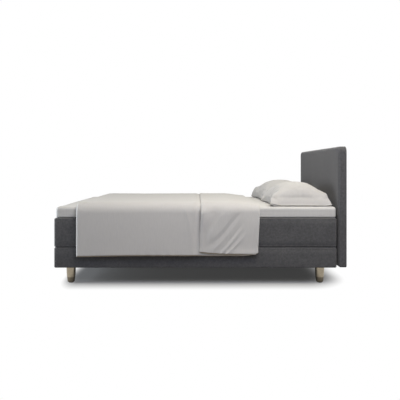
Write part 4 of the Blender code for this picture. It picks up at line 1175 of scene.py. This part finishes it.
class BED_OT_duvet(bpy.types.Operator):
    """Build the duvet with its head end turned back"""

    bl_idname = "bed.duvet"
    bl_label = "Duvet"

    # how many rows of points the quilt has in its bend, in its fold, near the turned-back edge
    # and under the turned-back part
    BEND_ROWS = 7
    FOLD_ROWS = 9
    EDGE_ROWS = 14
    UNDER_ROWS = 20

    def execute(self, context):
        shape = DuvetShape()
        across = self.crossings(shape)
        outer, inner = [], []
        for kind, x, share in self.stations(shape):
            xs = np.full_like(across, x)
            first, second = shape.heights(kind, xs, share, across)
            outer.append(shape.drape(across, first[1], first[0], kind))
            inner.append(shape.drape(across, second[1], second[0], kind))
        piece = self.shell("duvet_quilt", np.array(outer), np.array(inner))
        hand_over(piece, "duvet", "ivory_cotton", "duvet", look="duvet_cotton")
        return {"FINISHED"}

    def edge_places(self, shape):
        """Distances from an edge that carry its rim and its stitches."""
        band, width = shape.s.hem_band, shape.STITCH_WIDTH
        return [0.0, 0.0015, 0.0035, band - width, band, band + width, band + 0.007]

    def crossings(self, shape):
        """Places across the quilt, closer together at the hems and in the bend."""
        cell = shape.s.duvet_cell
        side = [shape.reach - value for value in self.edge_places(shape)]
        side += list(np.arange(side[-1] - cell * 0.75, shape.flat + shape.arc + cell / 3, -cell * 0.75))
        side += list(np.linspace(shape.flat + shape.arc, shape.flat, self.BEND_ROWS))
        top = steps(shape.flat, 0.0, round(shape.flat / cell / 1.4) + 1)
        half = np.array(side + top)
        return np.concatenate([-half, half[-2::-1]])

    def stations(self, shape):
        """(layer, x, share round the fold) along the quilt, from foot edge to turned-back edge."""
        cell = shape.s.duvet_cell
        edges = self.edge_places(shape)
        start, end, after = shape.foot + edges[-1], shape.flap - 0.05, shape.flap + 0.05
        lower = [shape.foot + value for value in edges]
        lower += steps(start, end, round((end - start) / cell))
        lower += steps(end, after, self.EDGE_ROWS)
        lower += steps(after, shape.fold, self.UNDER_ROWS)[:-1]
        found = [("lower", x, 0.0) for x in lower]
        found += [("fold", shape.fold, share) for share in np.linspace(0.0, 1.0, self.FOLD_ROWS)]
        edge = [shape.flap + value for value in edges]
        run = steps(shape.fold, edge[-1], round((shape.fold - edge[-1]) / cell / 0.7))[:-1]
        found += [("flap", x, 0.0) for x in run + edge[::-1]]
        return found

    def shell(self, name, outer, inner):
        """A closed shell from two grids of points with the same outline."""
        rows, columns, _ = outer.shape
        points = np.concatenate([outer.reshape(-1, 3), inner.reshape(-1, 3)])
        inside = rows * columns
        faces = grid_faces(rows, columns) + grid_faces(rows, columns, inside)
        numbers = np.arange(inside).reshape(rows, columns)
        for edge in (numbers[:, 0], numbers[:, -1], numbers[0], numbers[-1]):
            for first, second in zip(edge[:-1].tolist(), edge[1:].tolist()):
                faces.append((first, second, inside + second, inside + first))
        return mesh_piece(name, points, faces)


# Pillows


CASE_THICKNESS = 0.0010
FILLING_INSET = 0.009  # how far inside its case's form a pillow's filling ends


def lens(share, power):
    """Height of a cushion's section: 1 in the middle and 0 at share -1 and 1."""
    return np.clip(1 - share * share, 0, None) ** power


class PillowShape:
    """Form of a pillow, from shares u along X and w along its width, -1 at its closed end."""

    DEPTH = 0.425
    WIDTH = 0.640
    RISE = 0.161  # height above the seam
    DROP = 0.080  # depth below it, where the sheet doesn't stop the pillow
    SEAM = 0.010  # the seam's height
    SEAM_DIP = 0.30  # how much of it is lost at the corners
    DRAW_IN = 0.065  # how much its sides are drawn in between the corners
    SIDE_POWER = 0.53
    END_POWER = 0.22
    MOUTH_SHARE = 0.10  # share of its height that the case keeps at its mouth
    MOUTH_INSET = 0.012  # how far inside the mouth the filling ends
    END_SEAM = 0.007  # the seam's height at the closed end
    CORNER_LIFT = {"right": 0.015, "left": 0.004}  # how much higher its corner towards the foot lies
    CORNER_FILL = {"right": 0.022, "left": 0.048}  # and how much plumper it is
    CORNER_REACH = 0.015  # how far that corner is pulled out
    FLARE = 0.030  # how far the closed end's seam stands out below the crease above it
    CREASE_HEIGHT = 0.061
    END_ROWS = 0.12  # share of the width at the closed end where the upper face's rows lie closer
    FLANGE = 0.002  # width of the case's flange
    FLANGE_HALF = 0.0008  # half the flange's thickness
    CREASE_CAP = 0.008  # the most that a simulated crease moves a point
    BACK_FILL = 0.062  # how much plumper the closed end's corner towards the head is
    SEAM_WAVE = 0.0025
    FAN_HEIGHT = 0.0011  # of the creases that fan out from the corners
    PUCKER_HEIGHT = 0.0007  # of those along the seam
    LEDGE_DEPTH = 0.0032  # of the crease in the closed end
    STITCH_DEPTH = 0.0009
    STITCH_GAP = 0.007  # between the rows of points that carry the hem's stitches
    CLOSED_SIDES = ((slice(None), 0), (slice(None), -1), (0, slice(None)))  # all but the mouth
    # creases in u and w: start, end, width and height, on every pillow and then on the left one only
    CREASES = (
        ((-1.00, -1.00), (-0.15, -0.55), 0.110, 0.0016),
        ((-0.97, -0.80), (-0.72, -0.42), 0.030, -0.0012),
        ((-0.98, -0.68), (-0.78, -0.30), 0.026, -0.0012),
        ((0.98, -0.90), (0.62, -0.60), 0.045, 0.0020),
        ((0.98, 0.85), (0.65, 0.50), 0.050, 0.0020),
        ((-0.98, 0.85), (-0.62, 0.52), 0.050, 0.0022),
    )
    LEFT_CREASES = (
        ((-0.80, -0.66), (-0.56, -0.34), 0.030, 0.0018),
        ((-0.95, 0.30), (-0.70, 0.10), 0.030, 0.0015),
    )
    # settings of the simulated cloth
    CLOTH = {
        "quality": 6,
        "mass": 0.15,
        "tension_stiffness": 30.0,
        "compression_stiffness": 30.0,
        "shear_stiffness": 10.0,
        "bending_stiffness": 0.15,
        "use_pressure": True,
        "vertex_group_shrink": "seam",
        "shrink_min": -0.03,
        "shrink_max": 0.08,
    }

    def __init__(self):
        self.s = sizes()
        self.u = self.shares(self.DEPTH)
        w = self.shares(self.WIDTH)
        self.hem = 1 - self.s.pillowcase_hem / (self.WIDTH / 2)
        stitched = [self.hem - self.STITCH_GAP, self.hem, self.hem + self.STITCH_GAP]
        clear = np.abs(w - self.hem) > 2 * self.STITCH_GAP
        self.w = np.sort(np.concatenate([w[clear], stitched]))

    def shares(self, size):
        """Places from -1 to 1 for this size, closer together at both ends."""
        even = np.linspace(-1.0, 1.0, round(size / self.s.pillow_cell) + 8)
        return 0.35 * even + 0.65 * np.sin(even * math.pi / 2)

    def form(self, inset=0.0, mouth=False, short=0.0, side="right"):
        """Upper and lower points about the middle of the pillow, with the sheet at height 0."""
        u, lower = np.meshgrid(self.u, self.w)
        near = (1 + lower) / self.END_ROWS
        upper = np.where(near < 1, self.END_ROWS * near**3 - 1, lower)
        high, _ = self.halves(u, upper, inset, mouth, short, side)
        _, low = self.halves(u, lower, inset, mouth, short, side)
        return np.stack([high, low])

    def halves(self, u, w, inset, mouth, short, side):
        """The upper and the lower face's points at the same shares u and w."""
        y = (self.WIDTH / 2 - inset) * w * (1 - self.DRAW_IN * (1 - u**4) * np.abs(w) ** 3)
        end = lens(w, self.END_POWER)
        if mouth:
            end = np.where(w > 0, np.maximum(end, self.MOUTH_SHARE), end)
        y = y - short * np.clip(w, 0, None) ** 6
        along = y / (self.WIDTH / 2)
        x = (self.DEPTH / 2 - inset) * u * (1 - self.DRAW_IN * (1 - along**4) * np.abs(u) ** 3)
        plump = lens(u, self.SIDE_POWER) * end
        x = x - self.CORNER_REACH * ease(-0.3, -1.0, u) * ease(-0.2, -0.9, w)
        seam = self.seam(u, w, along, self.CORNER_LIFT[side])
        back = hill(u - 0.90, 0.16) * lens(u, 0.35) * lens(w, 0.12)
        front = hill(u + 0.95, 0.22) * lens(u, 0.15) * lens(w, 0.15)
        fill = self.BACK_FILL * back * ease(-0.45, -0.95, w)
        fill += self.CORNER_FILL[side] * front * ease(-0.6, -0.9, w)
        high = seam + (self.RISE - inset) * plump + fill
        low = np.maximum(seam - (self.DROP - inset) * plump, inset)
        below = np.clip((self.CREASE_HEIGHT - high) / (self.CREASE_HEIGHT - 0.015), 0, 1)
        upper_y = y - self.FLARE * (below - 0.35) * ease(-0.80, -0.97, w)
        lower_y = y - self.FLARE * 0.65 * ease(-0.90, -1.0, w)
        return np.stack([x, upper_y, high], -1), np.stack([x, lower_y, low], -1)

    def seam(self, u, w, along, lift):
        """Height of the seam round the pillow: it lifts at one corner and waves along its sides."""
        height = self.SEAM * (1 - self.SEAM_DIP * u**4 * along**4)
        closed = self.END_SEAM + lift * ease(-0.60, -0.95, u) + 0.008 * ease(0.80, 1.0, u)
        height = height + (closed - height) * ease(-0.55, -1.0, w)
        wave = self.SEAM_WAVE * (np.sin(w * 11.0 + 0.6) + np.sin(w * 25.0))
        return height + wave * ease(0.6, 1.0, np.abs(u)) * (1 - ease(0.7, 1.0, np.abs(w)))

    def outward(self, points):
        """Directions that point out of the pillow."""
        along_rows = np.gradient(points, axis=1)
        along_columns = np.gradient(points, axis=2)
        out = np.cross(along_columns, along_rows)
        out[1] *= -1
        size = np.linalg.norm(out, axis=-1, keepdims=True)
        return out / np.maximum(size, 1e-9)

    def relief(self, points, side):
        """Height of creases, seams and the hem's stitches, above the form."""
        u, w = np.meshgrid(self.u, self.w)
        total = np.zeros_like(u)
        creases = self.CREASES + (self.LEFT_CREASES if side == "left" else ())
        for start, end, width, height in creases:
            run = (end[0] - start[0], (end[1] - start[1]) * self.WIDTH / self.DEPTH)
            size = math.hypot(*run)
            du, dw = u - start[0], (w - start[1]) * self.WIDTH / self.DEPTH
            along = (du * run[0] + dw * run[1]) / size / size
            away = (du * run[1] - dw * run[0]) / size
            fade = ease(-0.02, 0.15, along) * (1 - ease(0.65, 1.05, along))
            total += height * hill(away, width) * fade
        for corner_u in (-1, 1):
            for corner_w in (-1, 1):
                du = (u - corner_u) * self.DEPTH / 2
                dw = (w - corner_w) * self.WIDTH / 2
                reach = np.hypot(du, dw)
                turn = np.arctan2(np.abs(dw), np.abs(du) + 1e-9)
                fade = ease(0.015, 0.05, reach) * (1 - ease(0.07, 0.19, reach))
                total += self.FAN_HEIGHT * np.sin(turn * 13.0 + corner_u * 1.7 + corner_w) * fade
        pucker = ease(0.86, 0.99, np.maximum(np.abs(u), np.abs(w)))
        total += self.PUCKER_HEIGHT * np.sin(w * 62.0 + 5 * u) * np.sin(w * 17.0) * pucker
        x, height = points[0, ..., 0], points[0, ..., 2]
        ledge = hill(height - self.CREASE_HEIGHT - 0.002, 0.006) * ease(-0.80, -0.97, w)
        upper = total - self.LEDGE_DEPTH * ledge * ease(-0.225, -0.19, x) * (1 - ease(0.06, 0.13, x))
        stitched = -self.STITCH_DEPTH * hill(w - self.hem, 0.005)
        return np.stack([upper + stitched, total * 0.5 + stitched])

    def blow_up(self):
        """Creases that a shrunk seam and the filling's pressure make, as moves of the form's points."""
        points = self.form()
        rows, columns = len(self.w), len(self.u)
        count = rows * columns
        above = np.arange(count).reshape(rows, columns)
        below = above + count
        below[0], below[-1] = above[0], above[-1]
        below[:, 0], below[:, -1] = above[:, 0], above[:, -1]
        quads = np.array(grid_faces(rows, columns))
        faces = np.stack([above.ravel()[quads], below.ravel()[quads[:, ::-1]]], axis=1)
        mesh = bpy.data.meshes.new("pillow_blank")
        mesh.from_pydata(points.reshape(-1, 3).tolist(), [], faces.reshape(-1, 4).tolist())
        blank = bpy.data.objects.new("pillow_blank", mesh)
        bpy.context.scene.collection.objects.link(blank)
        group = blank.vertex_groups.new(name="seam")
        u, w = np.meshgrid(self.u, self.w)
        weight = ease(0.90, 1.0, np.maximum(np.abs(u), np.abs(w))).ravel()
        for index, value in enumerate(np.concatenate([weight, weight])):
            group.add([index], float(value), "REPLACE")
        self.simulate(blank)
        moved = np.zeros(count * 6)
        blank.data.vertices.foreach_get("co", moved)
        bpy.data.objects.remove(blank, do_unlink=True)
        moved = moved.reshape(-1, 3)[np.concatenate([above.ravel(), below.ravel()])]
        moves = moved.reshape(points.shape) - points
        moves -= self.smoothed(moves)
        size = np.linalg.norm(moves, axis=-1, keepdims=True)
        return moves * np.minimum(1.0, self.CREASE_CAP / np.maximum(size, 1e-9))

    def smoothed(self, moves, reach=4):
        """The moves without their creases, each point with the mean of those around it."""
        for axis in (1, 2):
            for _ in range(2):
                width = [(0, 0)] * 4
                width[axis] = (reach, reach)
                padded = np.pad(moves, width, mode="edge")
                size = moves.shape[axis]
                starts = range(2 * reach + 1)
                moves = sum(np.take(padded, range(shift, shift + size), axis) for shift in starts)
                moves = moves / len(starts)
        return moves

    def simulate(self, blank):
        """Cloth with pressure inside, a shrunk seam and no gravity."""
        activate(blank)
        bpy.ops.object.modifier_add(type="CLOTH")
        cloth = blank.modifiers[-1]
        for key, value in self.CLOTH.items():
            setattr(cloth.settings, key, value)
        cloth.settings.uniform_pressure_force = self.s.pillow_pressure
        cloth.settings.effector_weights.gravity = 0.0
        cloth.point_cache.frame_start = 1
        cloth.point_cache.frame_end = self.s.pillow_frames
        for step in range(1, self.s.pillow_frames + 1):
            bpy.context.scene.frame_set(step)
        apply_last_modifier(blank)
        bpy.context.scene.frame_set(1)

    def creased(self, points, moves):
        """Adds the simulated creases, which fade towards the mouth and the closed end's seam."""
        calm = (1 - ease(0.90, 1.0, self.w)) * (0.5 + 0.5 * ease(-0.95, -0.65, self.w))
        return points + moves * calm[None, :, None, None]

    def cased(self, moves, side):
        """Points of the pillowcase: the creased form, with a flange where its seam runs."""
        points = self.form(mouth=True, side=side)
        relief = self.relief(points, side)[..., None]
        points = self.creased(points + self.outward(points) * relief, moves)
        points[..., 2] = np.maximum(points[..., 2], SKIN)
        edge = (points[0] + points[1]) / 2
        for grid, rise in zip(points, (self.FLANGE_HALF, -self.FLANGE_HALF)):
            for row, column in self.CLOSED_SIDES:
                grid[row, column] = edge[row, column]
                grid[row, column, 2] += rise
        points = np.pad(points, ((0, 0), (1, 0), (1, 1), (0, 0)), mode="edge")
        points[:, :, 0, 0] -= self.FLANGE
        points[:, :, -1, 0] += self.FLANGE
        points[:, 0, :, 1] -= self.FLANGE
        for row, column in self.CLOSED_SIDES:
            points[:, row, column, 2] = points[:, row, column, 2].mean(axis=0)
        return points


class BED_OT_pillows(bpy.types.Operator):
    """Blow up the pillows and put them in their cases"""

    bl_idname = "bed.pillows"
    bl_label = "Pillows"

    def execute(self, context):
        shape = PillowShape()
        moves = shape.blow_up()
        for side, across in SIDES.items():
            low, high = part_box("pillowcase_" + side)
            place = np.array(((low.x + high.x) / 2, (low.y + high.y) / 2, low.z))
            turned = np.array((1.0, -across, 1.0))
            case = self.bag("pillowcase_cloth_" + side, shape.cased(moves, side) * turned + place)
            apply_modifier(case, "SUBSURF", levels=1, render_levels=1)
            apply_modifier(case, "SOLIDIFY", thickness=CASE_THICKNESS, offset=-1.0)
            case.data.shade_smooth()
            hand_over(case, "pillow_" + side, "ivory_cotton", "pillowcase_" + side, look="pillow_cotton")
            self.make_filling(side, shape, moves, turned, place)
        return {"FINISHED"}

    def make_filling(self, side, shape, moves, turned, place):
        """The pillow itself, a little smaller than its case and short of the case's mouth."""
        points = shape.creased(shape.form(FILLING_INSET, short=shape.MOUTH_INSET, side=side), moves)
        points[..., 2] = np.maximum(points[..., 2], CASE_THICKNESS + 2 * SKIN)
        filling = self.bag("pillow_filling_" + side, points * turned + place)
        apply_modifier(filling, "SUBSURF", levels=1, render_levels=1)
        filling.data.shade_smooth()
        hand_over(filling, "pillow_" + side, "ivory_cotton", "pillow_" + side)

    def bag(self, name, points):
        """The upper and the lower grid of points as one mesh, joined where they meet."""
        rows, columns = points.shape[1:3]
        faces = grid_faces(rows, columns)
        faces += [tuple(reversed(face)) for face in grid_faces(rows, columns, rows * columns)]
        return mesh_piece(name, points.reshape(-1, 3), faces)


# Parts that keep their own shape


class BED_OT_inner_parts(bpy.types.Operator):
    """Give the frame's own parts their finishes"""

    bl_idname = "bed.inner_parts"
    bl_label = "Frame and Fillings"

    def execute(self, context):
        slots = {part["node"]: part["material_slot"] for part in frame["record"]["subparts"]}
        for name, node in frame["nodes"].items():
            node.data.materials.clear()
            node.data.materials.append(finish(slots[name]))
        return {"FINISHED"}


# Stage


class BED_OT_stage(bpy.types.Operator):
    """Build the studio: floor, background, lights and camera"""

    bl_idname = "bed.stage"
    bl_label = "Studio"

    FLOOR_SIZE = 60.0
    CAMERA = (-0.031, -4.529, 0.823)
    LENS = 48.8
    SHIFT = (0.01015, -0.080)
    # the floor's shadow is partly painted: outside this box a white glow is mixed in over the real
    # shadow, more the farther away
    SHADOW_BOX = ((-0.875, 0.74), (-0.36, 0.36))  # where the floor keeps its full shadow, along X and Y
    SHADOW_FADE = 0.56  # how far outside that box the floor takes to turn white
    FOOT_FADE = 3.4  # how much faster it does so at the foot end
    HEAD_FADE = 1.5  # and at the head end
    FADE_POWER = 3.0  # how late in that distance it does so
    PAINTED_UNDER_GLOW = 0.045  # painted light: a glow that the floor shows even under the bed, lightening its shadow there
    AMBIENT = ((0.96, 0.98, 1.0), 0.03)  # colour and strength of the soft light from all round
    # name, place, aim, size, power and colour of each lamp
    LAMPS = (
        ("key", (0.8, -1.7, 3.2), (0.2, -0.5, 0.4), (2.4, 1.4), 81.0, (1.0, 0.935, 0.79)),
        ("front", (0.9, -2.8, 2.6), (0.2, -0.6, 0.4), (2.0, 1.2), 34.0, (0.66, 0.72, 1.0)),
        ("back", (1.4, 3.2, 2.8), (0.0, 0.2, 0.5), (2.5, 1.5), 48.0, (1.0, 1.0, 0.91)),
        ("head_side", (2.2, -3.0, 1.8), (0.9, -0.7, 0.4), (1.5, 1.5), 9.0, (1.0, 0.98, 0.80)),
        ("foot_side", (-3.6, -0.5, 0.8), (0.9, 0.0, 0.65), (1.6, 1.6), 104.0, (0.87, 0.93, 1.0)),
    )

    def execute(self, context):
        self.make_floor()
        self.make_world()
        for lamp in self.LAMPS:
            self.make_lamp(*lamp)
        self.make_camera()
        context.scene.view_settings.view_transform = "Standard"
        return {"FINISHED"}

    def make_floor(self):
        """A pale floor that keeps the bed's real shadow under a painted glow, faint under the bed and
        growing with the distance from it until the floor shows plain white.
        """
        deselect()
        bpy.ops.mesh.primitive_plane_add(size=self.FLOOR_SIZE, location=(0.0, 0.0, 0.0))
        floor = placed("studio_floor")
        shader = Shader("studio_floor", roughness=1.0)
        away = []
        for axis, value in enumerate(shader.parts(shader.place())[:2]):
            low, high = self.SHADOW_BOX[axis]
            before = shader.math("MAXIMUM", shader.math("SUBTRACT", low, value), 0.0)
            after = shader.math("MAXIMUM", shader.math("SUBTRACT", value, high), 0.0)
            if axis == 0:
                before = shader.math("MULTIPLY", before, self.FOOT_FADE)
                after = shader.math("MULTIPLY", after, self.HEAD_FADE)
            away.append(shader.math("POWER", shader.math("ADD", before, after), 2.0))
        distance = shader.math("SQRT", shader.math("ADD", *away))
        fade = shader.math("POWER", shader.ramp(distance, 0.0, self.SHADOW_FADE), self.FADE_POWER)
        fade = shader.math("ADD", fade, self.PAINTED_UNDER_GLOW)
        share = shader.math("MULTIPLY", fade, shader.seen())
        diffuse = shader.add("BsdfDiffuse", {"Color": tuple(colours().floor)})
        white = shader.add("Emission", {"Strength": 1.0})
        either = shader.add("MixShader", {0: share, 1: diffuse, 2: white})
        output = next(node for node in shader.tree.nodes if node.type == "OUTPUT_MATERIAL")
        shader.join(either, output.inputs["Surface"])
        shader.tree.nodes.remove(shader.principled)
        floor.data.materials.append(shader.material)

    def make_world(self):
        """Soft light from all round, and a background that shows as plain white."""
        world = bpy.data.worlds.new("studio")
        bpy.context.scene.world = world
        world.use_nodes = True
        nodes = Nodes(world.node_tree)
        nodes.tree.nodes.clear()
        lights = [
            nodes.add("Background", {"Color": tint, "Strength": strength})
            for tint, strength in (self.AMBIENT, ((1.0, 1.0, 1.0), 1.0))
        ]
        either = nodes.add("MixShader", {0: nodes.seen(), 1: lights[0], 2: lights[1]})
        output = nodes.tree.nodes.new("ShaderNodeOutputWorld")
        nodes.join(either, output.inputs["Surface"])

    def make_lamp(self, name, place, aim, size, power, tint):
        deselect()
        bpy.ops.object.light_add(type="AREA", location=place)
        lamp = bpy.context.object
        lamp.name = name
        lamp.data.shape = "RECTANGLE"
        lamp.data.size, lamp.data.size_y = size
        lamp.data.energy = power
        lamp.data.color = tint
        lamp.rotation_euler = (Vector(aim) - Vector(place)).to_track_quat("-Z", "Y").to_euler()

    def make_camera(self):
        deselect()
        bpy.ops.object.camera_add(location=self.CAMERA, rotation=(math.pi / 2, 0.0, 0.0))
        camera = bpy.context.object
        camera.name = "photograph"
        camera.data.lens = self.LENS
        camera.data.shift_x, camera.data.shift_y = self.SHIFT
        bpy.context.scene.camera = camera


class BED_PT_panel(bpy.types.Panel):
    """Lists the bed's builders and their settings"""

    bl_idname = "BED_PT_panel"
    bl_label = "Box Spring Bed"
    bl_space_type = "VIEW_3D"
    bl_region_type = "UI"
    bl_category = "Bed"

    def draw(self, context):
        layout = self.layout
        for operator in BUILDERS:
            layout.operator(operator.bl_idname)
        for group in (context.scene.bed_sizes, context.scene.bed_colours):
            box = layout.box()
            for key in group.bl_rna.properties.keys():
                if key not in ("rna_type", "name"):
                    box.prop(group, key)


BUILDERS = (
    BED_OT_inner_parts,
    BED_OT_base_cover,
    BED_OT_mattress_cover,
    BED_OT_headboard_cover,
    BED_OT_cloths,
    BED_OT_feet,
    BED_OT_topper,
    BED_OT_duvet,
    BED_OT_pillows,
    BED_OT_stage,
)
CLASSES = (BedSizes, BedColours, *BUILDERS, BED_PT_panel)


def register():
    for cls in CLASSES:
        bpy.utils.register_class(cls)
    bpy.types.Scene.bed_sizes = PointerProperty(type=BedSizes)
    bpy.types.Scene.bed_colours = PointerProperty(type=BedColours)


def unregister():
    del bpy.types.Scene.bed_colours
    del bpy.types.Scene.bed_sizes
    for cls in reversed(CLASSES):
        bpy.utils.unregister_class(cls)


def main():
    register()
    for operator in BUILDERS:
        group, name = operator.bl_idname.split(".")
        getattr(getattr(bpy.ops, group), name)()


if __name__ == "__main__":
    main()
